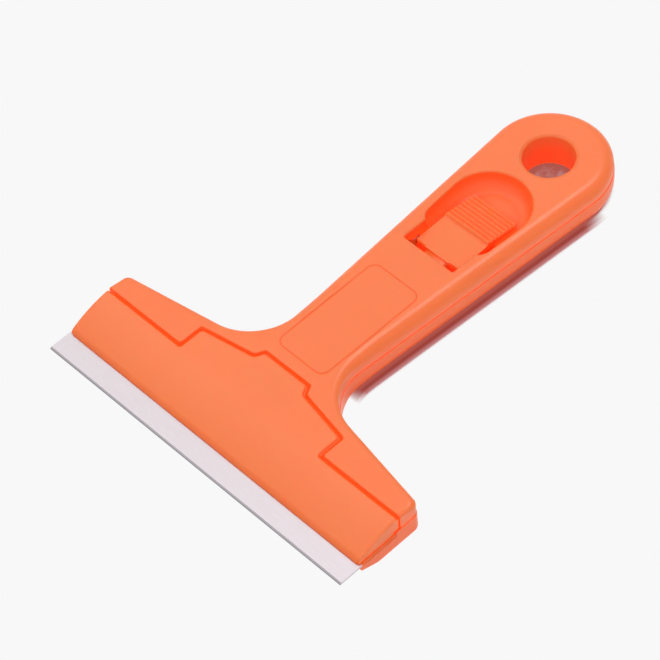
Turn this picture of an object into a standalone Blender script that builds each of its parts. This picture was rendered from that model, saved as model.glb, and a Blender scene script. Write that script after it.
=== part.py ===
# Paint scraper with a 100 mm replaceable blade, clamped by a hinged jaw
# that a thumb slider locks.
#
# Metres, +Z up. X runs along the blade, Y from the blade's edge to the
# handle's end. The origin is the middle of the body's length and width,
# at the height of the surface that the scraper lies on. Places along the
# tool are written as distances from the blade's edge, and along() turns
# them into Y.
import math

import bmesh
import bpy
from mathutils import Matrix, Vector

CLEARANCE = 0.0003
OVERRUN = 0.001
WELD = 0.000001

# Blade
BLADE_LENGTH = 0.100
BLADE_WIDTH = 0.018
BLADE_THICKNESS = 0.0005
BLADE_EDGE_BEVEL = 0.0008
BLADE_EDGE_LAND = 0.00008
PEG_RADIUS = 0.0021
PEG_SPACING = 0.054
PEG_FROM_BLADE_BACK = 0.0055

# Body, both shells together
BODY_THICKNESS = 0.0108
SEAM_HEIGHT = 0.0064
HEAD_END_SHORT = 0.0003
HEAD_CORNER_RADIUS = 0.0020
WING_DEPTH = 0.0062
WING_SWEEP = math.radians(9.9)
NECK_FILLET = 0.0138
HANDLE_TAPER = math.radians(3.7)
HANDLE_END_RADIUS = 0.0160
HANDLE_END_CENTRE = 0.1218
HANDLE_EDGE_RADIUS = 0.0030
WING_EDGE_RADIUS = 0.0016
HANDLE_UNDER_RADIUS = 0.0034
WING_UNDER_RADIUS = 0.0018
TOP_WALL = 0.0019
FLOOR_WALL = 0.0019
UPPER_SIDE_WALL = 0.0015
LOWER_SIDE_WALL = 0.0025
LOWER_LEDGE = 0.0002
SEAM_LIP_HEIGHT = 0.0011
SEAM_LIP_FRONT = 0.0350
SEAM_LIP_REAR = 0.0690

# Head of the lower shell
NOSE_FROM_EDGE = 0.0070
NOSE_THICKNESS = 0.0014
NOSE_BEVEL_LENGTH = 0.0085
BED_DROP = 0.0017
BED_RIB = 0.0014
BED_POCKETS = 8
BED_POCKET_FRONT = 0.0120
BED_POCKET_FLOOR = 0.0029
BLADE_STOP_WALL = 0.0016

# Groove between the jaw and the upper shell, as its centre line
GROOVE_WIDTH = 0.0010
GROOVE_BEHIND_BLADE = 0.0015
SHOULDER_DEPTH = 0.0070
FLANK_DEPTH = 0.0028
TAB_DEPTH = 0.0026
SHOULDER_HALF = 0.0239
NECK_HALF = 0.0086
TAB_HALF = 0.0074
GROOVE_CORNER = 0.0008
GROOVE_INNER_CORNER = 0.0018
GROOVE_EDGE_RADIUS = 0.0004

# Jaw
JAW_END_INSET = 0.0002
JAW_LIP_AHEAD = 0.0007
JAW_TOP_RADIUS = 0.0300
JAW_LIP_RADIUS = 0.0030
JAW_LIP_CENTRE_DROP = 0.00135
JAW_LIP_CORNER = 0.0012
JAW_PLATE = 0.0021
JAW_POCKET_FRONT = 0.0120
JAW_POCKET_ROOF = 0.0080
JAW_OPENING = math.radians(5.0)
TAIL_HALF = 0.0036
TAIL_THICKNESS = 0.0022
TAIL_END = 0.0540
TAIL_ROOT_BEHIND_PIN = 0.0030

# Hinge
PIN_RADIUS = 0.0010
PIN_LENGTH = 0.0430
PIN_CHAMFER = 0.0002
PIN_BEHIND_BLADE = 0.0065
PIN_HEIGHT = 0.0062
KNUCKLE_RADIUS = 0.0021
KNUCKLE_INNER_HALF = 0.0060
KNUCKLE_OUTER_HALF = 0.0180
KNUCKLE_WIDTH = 0.0040
LUG_HALF = 0.0120
LUG_WIDTH = 0.0036
PIN_STOP_WALL = 0.0012

# Torsion spring on the hinge pin, which lifts the jaw's lip
SPRING_WIRE = 0.0003
SPRING_TURNS = 4
SPRING_PITCH = 0.00105
SPRING_TURN_POINTS = 10
SPRING_LEG = 0.0040

# Slider
SLIDER_TRAVEL = 0.0035
SLIDER_HALF = 0.0072
SLIDER_FRONT = 0.0821
SLIDER_BODY_LENGTH = 0.0098
PAD_DROP = 0.0028
TONGUE_HALF = 0.0031
TONGUE_DROP = 0.0032
TONGUE_THICKNESS = 0.0038
WEDGE_CREST = 0.0010
RIDGE_COUNT = 8
RIDGE_PITCH = 0.00132
RIDGE_HEIGHT = 0.00035
RIDGE_FRONT_DROP = 0.0019
RIDGE_REAR_DROP = 0.0034
THUMB_BLOCK_LENGTH = 0.0110
THUMB_BLOCK_CHAMFER = 0.0018
THUMB_BLOCK_RISE = 0.00055
THUMB_COVE = 0.0012
FLANGE_HALF = 0.0086
FLANGE_LENGTH = 0.0150
SLIDER_WALL = 0.0015

# Window and thumb scoop in the upper shell
WINDOW_FRONT = 0.0793
WINDOW_HALF = 0.0083
WINDOW_CORNER = 0.0005
SCOOP_DEPTH = 0.0047
SCOOP_COVE = 0.0036
SCOOP_CENTRE = 0.10035
SCOOP_RADIUS = 0.01085
SCOOP_SIDE_TAPER = math.radians(4.0)
SCOOP_FRONT = 0.0862
SCOOP_SHOULDER = 0.0042
SCOOP_WALL = 0.0015
SCOOP_SEGMENTS = 6

# Detent springs beside the slider
DETENT_THICKNESS = 0.0004
DETENT_HEIGHT = 0.0030
DETENT_HALF = 0.0089
DETENT_FRONT = 0.0720
DETENT_POST_LENGTH = 0.0050
DETENT_BEND = 0.0806
DETENT_TIP_REACH = 0.0004
DETENT_TIP_LENGTH = 0.0018

# Hanging hole
HOLE_RADIUS = 0.00665
HOLE_TOP_ROUND = 0.0008
HOLE_UNDER_ROUND = 0.0010
HOLE_WALL = 0.0019

# Frame line of the bare label field
LABEL_HALF = 0.0080
LABEL_FRONT = 0.0357
LABEL_REAR = 0.0690
LABEL_CORNER = 0.0024
LABEL_LINE = 0.0003
LABEL_DEPTH = 0.0002

# Screws that hold the shells together, driven from below
SCREW_RADIUS = 0.0012
SCREW_LENGTH = 0.0070
SCREW_TIP = 0.0012
HEAD_RADIUS = 0.0022
HEAD_HEIGHT = 0.0014
HEAD_DEEP = 0.0004
HEAD_ROUND_SHARE = 0.55
BOSS_WALL = 0.0010
WING_SCREW_HALF = 0.0310
WING_SCREW_BEHIND_BLADE = 0.0056
NECK_SCREW = (0.0072, 0.0400)
REAR_SCREW = (0.0104, 0.1130)

# Ribs under the handle's top wall
TOP_RIB_HALF = 0.0058
TOP_RIB_DEPTH = 0.0009
TOP_RIB_WIDTH = 0.0010
TOP_RIB_FRONT = 0.0440
TOP_RIB_REAR = 0.0760

# Facets
ARC_STEPS = 8
END_STEPS = 28
ROUND_SIDES = 24
SCREW_SIDES = 16
EDGE_SEGMENTS = 3

OVERALL = HANDLE_END_CENTRE + HANDLE_END_RADIUS + LOWER_LEDGE
HEAD_LENGTH = BLADE_LENGTH - 2 * HEAD_END_SHORT
HEAD_HALF = HEAD_LENGTH / 2
GROOVE_WING = BLADE_WIDTH + GROOVE_BEHIND_BLADE
GROOVE_SHOULDER = GROOVE_WING + SHOULDER_DEPTH
GROOVE_NECK = GROOVE_SHOULDER + FLANK_DEPTH
GROOVE_TAB = GROOVE_NECK + TAB_DEPTH
WING_REAR = GROOVE_WING + WING_DEPTH
WING_SCREW = (WING_SCREW_HALF, BLADE_WIDTH + WING_SCREW_BEHIND_BLADE)
PIN_PLACE = BLADE_WIDTH + PIN_BEHIND_BLADE
TAIL_ROOT = PIN_PLACE + TAIL_ROOT_BEHIND_PIN
CEILING = BODY_THICKNESS - TOP_WALL
BED_HEIGHT = SEAM_HEIGHT - BED_DROP
BLADE_UNDER = BED_HEIGHT + CLEARANCE
BLADE_TOP = BLADE_UNDER + BLADE_THICKNESS
JAW_UNDER = BLADE_TOP + CLEARANCE
PLATE_UNDER = BODY_THICKNESS - JAW_PLATE
LIP_PLACE = NOSE_FROM_EDGE - JAW_LIP_AHEAD
BLADE_STOP = BLADE_WIDTH + CLEARANCE
SCOOP_FLOOR = BODY_THICKNESS - SCOOP_DEPTH
SCOOP_UNDER = SCOOP_FLOOR - SCOOP_WALL
SLIDER_UNDER = FLOOR_WALL + CLEARANCE
SLIDER_BACK = SLIDER_FRONT + SLIDER_BODY_LENGTH
SLOT_REAR = SLIDER_BACK + SLIDER_TRAVEL + CLEARANCE
TAIL_TOP = CEILING - 2 * CLEARANCE
TAIL_UNDER = TAIL_TOP - TAIL_THICKNESS
WEDGE_TOP = TAIL_UNDER - CLEARANCE
TAIL_DROP = (TAIL_END - PIN_PLACE) * math.sin(JAW_OPENING)
BORE_RADIUS = PIN_RADIUS + CLEARANCE
HEAD_SEAT = HEAD_DEEP + HEAD_HEIGHT + CLEARANCE


def along(distance):
    """Y of a place given as its distance from the blade's edge."""
    return distance - OVERALL / 2


def clear_scene():
    for old in list(bpy.data.objects):
        bpy.data.objects.remove(old, do_unlink=True)


def new_collection(name):
    group = bpy.data.collections.new(name)
    bpy.context.scene.collection.children.link(group)
    return group


clear_scene()
PARTS = new_collection("paint_scraper")
CUTTERS = new_collection("cutters")


def material(name, color, roughness, metallic=0.0):
    finish = bpy.data.materials.new(name)
    finish.use_nodes = True
    shader = finish.node_tree.nodes["Principled BSDF"]
    shader.inputs["Base Color"].default_value = color
    shader.inputs["Roughness"].default_value = roughness
    shader.inputs["Metallic"].default_value = metallic
    return finish


def put(name, mesh, group):
    obj = bpy.data.objects.new(name, mesh)
    group.objects.link(obj)
    if group is CUTTERS:
        obj.hide_render = True
        obj.display_type = "WIRE"
    return obj


def arc(centre, radius, start, stop, steps):
    """Points on a circle from one angle to another, ends included."""
    points = []
    for index in range(steps + 1):
        angle = start + (stop - start) * index / steps
        offset = Vector((math.cos(angle), math.sin(angle))) * radius
        points.append(Vector(centre) + offset)
    return points


def shifted(corners, inset):
    """Move every side of an anticlockwise polygon inwards by inset."""
    count = len(corners)
    moved = []
    for index in range(count):
        before = (corners[index] - corners[index - 1]).normalized()
        after = (corners[(index + 1) % count] - corners[index]).normalized()
        normal = Vector((-before.y, before.x))
        turn = before.x * after.y - before.y * after.x
        along_side = before.dot(after)
        slide = math.tan(math.atan2(turn, along_side) / 2)
        moved.append(corners[index] + (normal - before * slide) * inset)
    return moved


def rounded(corners, radii, steps=ARC_STEPS):
    """Round each corner of a polygon with an arc of its own radius."""
    count = len(corners)
    points = []
    for index in range(count):
        corner = corners[index]
        radius = radii[index]
        back = (corners[index - 1] - corner).normalized()
        ahead = (corners[(index + 1) % count] - corner).normalized()
        half = back.angle(ahead) / 2
        if radius <= 0 or half > math.radians(89.5):
            points.append(corner.copy())
            continue
        reach = radius / math.tan(half)
        start = corner + back * reach
        stop = corner + ahead * reach
        centre = corner + (back + ahead).normalized() * (radius / math.sin(half))
        first = start - centre
        last = stop - centre
        sweep = math.atan2(first.x * last.y - first.y * last.x, first.dot(last))
        begin = math.atan2(first.y, first.x)
        points += arc(centre, radius, begin, begin + sweep, steps)
    return points


def extruded(name, outline, low, high, group, sideways=False):
    """A flat outline made thick: up Z, or along X with the outline in Y, Z."""
    curve = bpy.data.curves.new(name, "CURVE")
    curve.dimensions = "2D"
    curve.fill_mode = "BOTH"
    curve.extrude = (high - low) / 2
    spline = curve.splines.new("POLY")
    spline.points.add(len(outline) - 1)
    for point, place in zip(spline.points, outline):
        point.co = (place[0], place[1], 0, 1)
    spline.use_cyclic_u = True
    guide = bpy.data.objects.new(name + "_outline", curve)
    CUTTERS.objects.link(guide)
    middle = (low + high) / 2
    if sideways:
        guide.location = (middle, 0, 0)
        guide.rotation_euler = (math.pi / 2, 0, math.pi / 2)
    else:
        guide.location = (0, 0, middle)
    bpy.context.view_layer.update()
    evaluated = guide.evaluated_get(bpy.context.evaluated_depsgraph_get())
    mesh = bpy.data.meshes.new_from_object(evaluated)
    mesh.transform(guide.matrix_world)
    shape = bmesh.new()
    shape.from_mesh(mesh)
    bmesh.ops.remove_doubles(shape, verts=shape.verts, dist=WELD)
    bmesh.ops.dissolve_limit(shape, angle_limit=math.radians(0.1), verts=shape.verts,
                             edges=shape.edges)
    bmesh.ops.recalc_face_normals(shape, faces=shape.faces)
    shape.to_mesh(mesh)
    shape.free()
    bpy.data.objects.remove(guide, do_unlink=True)
    return put(name, mesh, group)


def block(name, low, high, group=CUTTERS):
    """A box between two opposite corners."""
    mesh = bpy.data.meshes.new(name)
    shape = bmesh.new()
    bmesh.ops.create_cube(shape, size=1.0)
    size = Vector(high) - Vector(low)
    middle = (Vector(high) + Vector(low)) / 2
    bmesh.ops.scale(shape, vec=size, verts=shape.verts)
    bmesh.ops.translate(shape, vec=middle, verts=shape.verts)
    shape.to_mesh(mesh)
    shape.free()
    return put(name, mesh, group)


def post(name, place, radius, low, high, group=CUTTERS, sides=ROUND_SIDES):
    """An upright cylinder at a place (x, distance from the edge)."""
    mesh = bpy.data.meshes.new(name)
    shape = bmesh.new()
    bmesh.ops.create_cone(shape, cap_ends=True, segments=sides, radius1=radius,
                          radius2=radius, depth=high - low)
    middle = Vector((place[0], along(place[1]), (low + high) / 2))
    bmesh.ops.translate(shape, vec=middle, verts=shape.verts)
    shape.to_mesh(mesh)
    shape.free()
    return put(name, mesh, group)


def rod(name, half_width, centre_x, radius, group=CUTTERS, sides=ROUND_SIDES):
    """A cylinder along X on the jaw's hinge axis."""
    mesh = bpy.data.meshes.new(name)
    shape = bmesh.new()
    turn = Matrix.Rotation(math.pi / 2, 4, "Y")
    bmesh.ops.create_cone(shape, cap_ends=True, segments=sides, radius1=radius,
                          radius2=radius, depth=2 * half_width, matrix=turn)
    middle = Vector((centre_x, along(PIN_PLACE), PIN_HEIGHT))
    bmesh.ops.translate(shape, vec=middle, verts=shape.verts)
    shape.to_mesh(mesh)
    shape.free()
    return put(name, mesh, group)


def turned(name, profile, group, place=(0, 0, 0), sides=ROUND_SIDES):
    """A profile of (radius, height), top to bottom, turned about Z."""
    mesh = bpy.data.meshes.new(name)
    rows = [(radius, 0, height) for radius, height in profile]
    links = [(index, index + 1) for index in range(len(rows) - 1)]
    mesh.from_pydata(rows, links, [])
    obj = put(name, mesh, group)
    obj.location = place
    spin = obj.modifiers.new("turn", "SCREW")
    spin.steps = sides
    spin.render_steps = sides
    spin.use_merge_vertices = True
    spin.merge_threshold = WELD
    spin.use_smooth_shade = True
    return obj


def combine(target, other, operation):
    step = target.modifiers.new(other.name, "BOOLEAN")
    step.operation = operation
    step.solver = "EXACT"
    step.object = other
    return target


def cut(target, *others):
    for other in others:
        combine(target, other, "DIFFERENCE")


def join(target, *others):
    for other in others:
        combine(target, other, "UNION")


def keep(target, other):
    combine(target, other, "INTERSECT")


def round_edges(obj, radius, choose):
    """Round the edges that choose(middle, direction) gives a share of radius."""
    mesh = obj.data
    weights = mesh.attributes.new("bevel_weight_edge", "FLOAT", "EDGE")
    for edge in mesh.edges:
        first = mesh.vertices[edge.vertices[0]].co
        second = mesh.vertices[edge.vertices[1]].co
        weights.data[edge.index].value = choose((first + second) / 2, second - first)
    bevel = obj.modifiers.new("edges", "BEVEL")
    bevel.limit_method = "WEIGHT"
    bevel.width = radius
    bevel.segments = EDGE_SEGMENTS
    bevel.use_clamp_overlap = False


def set_origin(obj, point):
    """Put an object's origin on a point without moving its shape."""
    obj.data.transform(Matrix.Translation(-Vector(point)))
    obj.location = point


def finish(obj, surface, smooth_angle=math.radians(35)):
    obj.data.materials.clear()
    obj.data.materials.append(surface)
    obj.data.shade_smooth()
    obj.data.set_sharp_from_angle(angle=smooth_angle)


# Outlines
def body_outline(inset, front):
    """The body in plan: wings, neck fillets, tapered handle, round end.

    The handle's sides touch the end circle where the taper meets it, so a
    smaller circle moves them inwards with it.
    """
    end_radius = HANDLE_END_RADIUS - inset
    touch = Vector((math.cos(-HANDLE_TAPER), math.sin(-HANDLE_TAPER))) * end_radius
    touch.y += HANDLE_END_CENTRE
    slope = math.tan(HANDLE_TAPER)
    sweep = math.tan(WING_SWEEP)
    wing_half = HEAD_HALF - inset
    rear_at_end = WING_REAR - inset / math.cos(WING_SWEEP) + inset * sweep
    side_at_front = touch.x - slope * touch.y
    meet_y = rear_at_end + sweep * (wing_half - side_at_front)
    meet_y = meet_y / (1 + sweep * slope)
    neck = Vector((side_at_front + slope * meet_y, meet_y))
    corners = [
        Vector((wing_half, front)),
        Vector((wing_half, rear_at_end)),
        neck,
        touch,
    ]
    radii = [0, max(HEAD_CORNER_RADIUS - inset, CLEARANCE), NECK_FILLET + inset, 0]
    rounding = rounded([Vector((0, front))] + corners, [0] + radii)
    right = rounding[1:-1]
    end = arc((0, HANDLE_END_CENTRE), end_radius, -HANDLE_TAPER,
              math.pi + HANDLE_TAPER, END_STEPS)
    left = [Vector((-p.x, p.y)) for p in reversed(right)]
    outline = right + end + left
    return [Vector((p.x, along(p.y))) for p in outline]


def edge_share(place, wing_radius, handle_radius):
    """Share of the handle's rounding at a place on the outline.

    The wings keep the share of their own radius, and the neck's fillet
    leads from one to the other.
    """
    neck = along(WING_REAR + NECK_FILLET / 2)
    handle = along(WING_REAR + 2 * NECK_FILLET)
    wing_share = wing_radius / handle_radius
    part_way = min(max((place.y - neck) / (handle - neck), 0), 1)
    return wing_share + (1 - wing_share) * part_way


def groove_corners():
    """The groove's centre line on the right, from the middle outwards."""
    places = [
        (TAB_HALF, GROOVE_TAB),
        (NECK_HALF, GROOVE_NECK),
        (SHOULDER_HALF, GROOVE_SHOULDER),
        (SHOULDER_HALF, GROOVE_WING),
    ]
    return [Vector(place) for place in places]


def groove_area(shift, far):
    """All of the head on one side of the groove, up to far.

    The groove's line moves rearwards by shift, so half its width gives the
    upper shell's edge and minus that half gives the jaw's.
    """
    right = [Vector((HEAD_LENGTH, GROOVE_WING))] + groove_corners()[::-1]
    left = [Vector((-p.x, p.y)) for p in reversed(right)]
    path = [Vector((HEAD_LENGTH, far))] + right + left + [Vector((-HEAD_LENGTH, far))]
    radii = [0, 0, GROOVE_CORNER, GROOVE_CORNER, GROOVE_INNER_CORNER, GROOVE_CORNER]
    moved = rounded(shifted(path, -shift), radii + radii[::-1], ARC_STEPS // 2)
    return [Vector((p.x, along(p.y))) for p in moved]


def groove_line(shift):
    """The moved groove line alone, from the right shoulder to the left."""
    return groove_area(shift, 0)[2:-2]


def scoop_outline(grow=0.0):
    """Thumb scoop: a round rear, sides drawn in to the window's shoulders."""
    radius = SCOOP_RADIUS + grow
    taper = SCOOP_SIDE_TAPER
    touch = Vector((math.cos(-taper), math.sin(-taper))) * radius
    touch.y += SCOOP_CENTRE
    front = SCOOP_FRONT - grow
    foot = Vector((touch.x - math.tan(taper) * (touch.y - front), front))
    right = rounded([Vector((0, front)), foot, touch], [0, SCOOP_SHOULDER + grow, 0])
    rear = arc((0, SCOOP_CENTRE), radius, -taper, math.pi + taper, END_STEPS)
    left = [Vector((-p.x, p.y)) for p in reversed(right[1:-1])]
    outline = right[1:-1] + rear + left
    return [Vector((p.x, along(p.y))) for p in outline]


def rectangle(half, front, rear, radius):
    corners = [
        Vector((half, along(front))),
        Vector((half, along(rear))),
        Vector((-half, along(rear))),
        Vector((-half, along(front))),
    ]
    return rounded(corners, [radius] * 4, ARC_STEPS // 2)


def side_profile(places):
    """Points of (distance from the edge, height) as (Y, Z)."""
    return [Vector((along(distance), height)) for distance, height in places]


def screw_places():
    places = {}
    for title, place in (("wing", WING_SCREW), ("neck", NECK_SCREW), ("rear", REAR_SCREW)):
        places[title + "_right"] = place
        places[title + "_left"] = (-place[0], place[1])
    return places


def hole_cutter(name):
    """The hanging hole with both rims rounded over."""
    top = BODY_THICKNESS
    rows = [(0, top + OVERRUN), (HOLE_RADIUS + HOLE_TOP_ROUND, top + OVERRUN)]
    for index in range(EDGE_SEGMENTS + 1):
        angle = math.pi / 2 * index / EDGE_SEGMENTS
        radius = HOLE_RADIUS + HOLE_TOP_ROUND * (1 - math.sin(angle))
        rows.append((radius, top - HOLE_TOP_ROUND * (1 - math.cos(angle))))
    for index in range(EDGE_SEGMENTS + 1):
        angle = math.pi / 2 * index / EDGE_SEGMENTS
        radius = HOLE_RADIUS + HOLE_UNDER_ROUND * (1 - math.cos(angle))
        rows.append((radius, HOLE_UNDER_ROUND * (1 - math.sin(angle))))
    rows.append((HOLE_RADIUS + HOLE_UNDER_ROUND, -OVERRUN))
    rows.append((0, -OVERRUN))
    return turned(name, rows, CUTTERS, (0, along(HANDLE_END_CENTRE), 0))


HANG_HOLE = hole_cutter("hang_hole_cutter")


def scoop_solid(name, grow, low, radius):
    """The scoop's outline made solid, with its lower edge rounded."""
    high = BODY_THICKNESS + 2 * radius if grow == 0 else CEILING + TOP_WALL / 2
    solid = extruded(name, scoop_outline(grow), low, high, CUTTERS)
    middle_height = (low + high) / 2

    def lower_edge(middle, direction):
        flat = abs(direction.z) < CLEARANCE
        return 1.0 if flat and middle.z < middle_height else 0.0

    round_edges(solid, radius, lower_edge)
    solid.modifiers["edges"].segments = SCOOP_SEGMENTS
    return solid


def mechanism_room(name):
    """Space for the detent springs and the slider, however narrow the handle."""
    half = DETENT_HALF + DETENT_THICKNESS / 2 + CLEARANCE
    return block(name, (-half, along(DETENT_FRONT - CLEARANCE), FLOOR_WALL),
                 (half, along(SLOT_REAR), DETENT_TOP + CLEARANCE))


# Upper shell
def upper_shell(surface):
    half_groove = GROOVE_WIDTH / 2
    low = SEAM_HEIGHT + CLEARANCE
    front = GROOVE_WING + half_groove
    line = groove_line(half_groove)
    outline = body_outline(0, front) + line[::-1]
    shell = extruded("upper_shell", outline, low, BODY_THICKNESS, PARTS)
    ring = line + [line[0]]
    middles = [(ring[i] + ring[i + 1]) / 2 for i in range(len(line) - 1)]
    groove_share = GROOVE_EDGE_RADIUS / HANDLE_EDGE_RADIUS

    def top_edge(middle, direction):
        flat = abs(direction.z) < CLEARANCE
        if not flat or middle.z < BODY_THICKNESS - CLEARANCE:
            return 0.0
        if middle.y < along(front) + CLEARANCE:
            return groove_share
        if min((middle.xy - place).length for place in middles) < CLEARANCE / 10:
            return groove_share
        return edge_share(middle, WING_EDGE_RADIUS, HANDLE_EDGE_RADIUS)

    round_edges(shell, HANDLE_EDGE_RADIUS, top_edge)
    hollow_upper_shell(shell, low)
    fill_upper_shell(shell, low)
    open_upper_shell(shell, low)
    finish(shell, surface)
    return shell


def hollow_upper_shell(shell, low):
    inside = body_outline(UPPER_SIDE_WALL, GROOVE_WING)
    hollow = extruded("upper_hollow", inside, low - OVERRUN, CEILING, CUTTERS)
    wall = groove_area(GROOVE_WIDTH / 2 + UPPER_SIDE_WALL, OVERALL)
    behind = extruded("behind_groove", wall, 0, BODY_THICKNESS, CUTTERS)
    keep(hollow, behind)
    cut(shell, hollow, mechanism_room("upper_room"))


def fill_upper_shell(shell, low):
    """Bowl of the scoop, tube round the hanging hole, bosses and ribs."""
    roof = CEILING + TOP_WALL / 2
    bowl = scoop_solid("scoop_bowl", SCOOP_WALL, SCOOP_UNDER, SCOOP_COVE + SCOOP_WALL)
    tube = post("upper_tube", (0, HANDLE_END_CENTRE), HOLE_RADIUS + HOLE_WALL, low, roof)
    join(shell, bowl, tube)
    radius = SCREW_RADIUS + CLEARANCE + BOSS_WALL
    for title, place in screw_places().items():
        join(shell, post("upper_boss_" + title, place, radius, low, roof))
    for side in (-1, 1):
        middle = side * TOP_RIB_HALF
        corner = (middle - TOP_RIB_WIDTH / 2, along(TOP_RIB_FRONT), CEILING - TOP_RIB_DEPTH)
        other = (middle + TOP_RIB_WIDTH / 2, along(TOP_RIB_REAR), roof)
        join(shell, block("top_rib_%d" % side, corner, other))


def open_upper_shell(shell, low):
    """Scoop, window, slider slot, hanging hole, pilot holes, tail passage."""
    top = BODY_THICKNESS + OVERRUN
    scoop = scoop_solid("scoop", 0, SCOOP_FLOOR, SCOOP_COVE)
    shoulder = SCOOP_FRONT + CLEARANCE
    window = extruded("window", rectangle(WINDOW_HALF, WINDOW_FRONT, shoulder, WINDOW_CORNER),
                      0, top, CUTTERS)
    slot_half = SLIDER_HALF + CLEARANCE
    slot = block("slider_slot", (-slot_half, along(SCOOP_FRONT - OVERRUN), 0),
                 (slot_half, along(SLOT_REAR), top))
    passage_half = TAIL_HALF + CLEARANCE
    passage_rear = GROOVE_TAB + GROOVE_WIDTH + UPPER_SIDE_WALL
    passage = block("tail_passage", (-passage_half, along(GROOVE_NECK), 0),
                    (passage_half, along(passage_rear), TAIL_TOP + CLEARANCE))
    cut(shell, scoop, window, slot, passage, HANG_HOLE)
    pilot_top = HEAD_DEEP + HEAD_HEIGHT + SCREW_LENGTH + CLEARANCE
    for title, place in screw_places().items():
        radius = SCREW_RADIUS + CLEARANCE
        cut(shell, post("pilot_" + title, place, radius, low - OVERRUN, pilot_top))
    outer = rectangle(LABEL_HALF, LABEL_FRONT, LABEL_REAR, LABEL_CORNER)
    frame = extruded("label_line", outer, BODY_THICKNESS - LABEL_DEPTH, top, CUTTERS)
    inner = rectangle(LABEL_HALF - LABEL_LINE, LABEL_FRONT + LABEL_LINE,
                      LABEL_REAR - LABEL_LINE, LABEL_CORNER - LABEL_LINE)
    field = extruded("label_field", inner, SEAM_HEIGHT, top + OVERRUN, CUTTERS)
    cut(frame, field)
    cut(shell, frame)


# Lower shell
def lower_shell(surface):
    outline = body_outline(-LOWER_LEDGE, NOSE_FROM_EDGE)
    shell = extruded("lower_shell", outline, 0, SEAM_HEIGHT, PARTS)
    nose_end = along(NOSE_FROM_EDGE + CLEARANCE)

    def under_edge(middle, direction):
        flat = abs(direction.z) < CLEARANCE
        if not flat or middle.z > CLEARANCE or middle.y < nose_end:
            return 0.0
        return edge_share(middle, WING_UNDER_RADIUS, HANDLE_UNDER_RADIUS)

    round_edges(shell, HANDLE_UNDER_RADIUS, under_edge)
    shape_nose(shell)
    hollow = extruded("lower_hollow", body_outline(LOWER_SIDE_WALL, BLADE_STOP + BLADE_STOP_WALL),
                      FLOOR_WALL, SEAM_HEIGHT + OVERRUN, CUTTERS)
    cut(shell, hollow, mechanism_room("lower_room"))
    fill_lower_shell(shell)
    add_hinge_lugs(shell)
    add_detent_posts(shell)
    open_lower_shell(shell)
    finish(shell, surface)
    return shell


def shape_nose(shell):
    """Blade bed, the bevel under the nose and the pockets between ribs."""
    reach = HEAD_HALF + LOWER_LEDGE + OVERRUN
    bed = block("blade_bed", (-reach, along(NOSE_FROM_EDGE - OVERRUN), BED_HEIGHT),
                (reach, along(BLADE_STOP), SEAM_HEIGHT + OVERRUN))
    tip = Vector((NOSE_FROM_EDGE, BED_HEIGHT - NOSE_THICKNESS))
    heel = Vector((NOSE_FROM_EDGE + NOSE_BEVEL_LENGTH, 0))
    past = (heel - tip).normalized() * OVERRUN
    start = tip - past
    stop = heel + past
    wedge = side_profile([start, stop, (start.x, stop.y)])
    bevel = extruded("nose_bevel", wedge, -reach, reach, CUTTERS, sideways=True)
    cut(shell, bed, bevel)
    pockets("bed_pocket", shell, HEAD_HALF, BED_POCKET_FRONT, BED_POCKET_FLOOR,
            BED_HEIGHT + OVERRUN)


def pockets(name, target, half, front, low, high):
    """A row of pockets that leaves ribs between them."""
    width = (2 * half - BED_RIB) / BED_POCKETS
    rear = BLADE_WIDTH - BED_RIB
    for index in range(BED_POCKETS):
        left = -half + BED_RIB + index * width
        right = left + width - BED_RIB
        cut(target, block("%s_%d" % (name, index), (left, along(front), low),
                          (right, along(rear), high)))


def fill_lower_shell(shell):
    """Blade pegs, seam lip, tube, screw bosses and the tongue's rails."""
    for side in (-1, 1):
        place = (side * PEG_SPACING / 2, BLADE_WIDTH - PEG_FROM_BLADE_BACK)
        join(shell, post("peg_%d" % side, place, PEG_RADIUS, BED_POCKET_FLOOR - BED_RIB / 2,
                         BLADE_TOP))
        rail_in = TONGUE_HALF + CLEARANCE
        rail_out = rail_in + TOP_RIB_WIDTH
        low_x = min(side * rail_in, side * rail_out)
        rail = block("rail_%d" % side, (low_x, along(TAIL_END + SLIDER_TRAVEL), FLOOR_WALL / 2),
                     (low_x + TOP_RIB_WIDTH, along(SLIDER_FRONT - OVERRUN), RAIL_TOP))
        join(shell, rail)
    outer = extruded("seam_lip", body_outline(UPPER_SIDE_WALL + CLEARANCE, SEAM_LIP_FRONT),
                     BED_HEIGHT, SEAM_HEIGHT + SEAM_LIP_HEIGHT, CUTTERS)
    inner = extruded("lip_inside", body_outline(LOWER_SIDE_WALL, GROOVE_WING),
                     0, BODY_THICKNESS, CUTTERS)
    span = block("lip_span", (-HEAD_HALF, along(SEAM_LIP_FRONT), 0),
                 (HEAD_HALF, along(SEAM_LIP_REAR), BODY_THICKNESS))
    cut(outer, inner)
    keep(outer, span)
    join(shell, outer)
    join(shell, post("lower_tube", (0, HANDLE_END_CENTRE), HOLE_RADIUS + HOLE_WALL,
                     FLOOR_WALL / 2, SEAM_HEIGHT))
    narrow = SCREW_RADIUS + CLEARANCE + BOSS_WALL
    wide = HEAD_RADIUS + CLEARANCE + BOSS_WALL
    for title, place in screw_places().items():
        join(shell, post("boss_foot_" + title, place, wide, FLOOR_WALL / 2,
                         HEAD_SEAT + BOSS_WALL))
        join(shell, post("boss_" + title, place, narrow, FLOOR_WALL, SEAM_HEIGHT))


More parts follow.
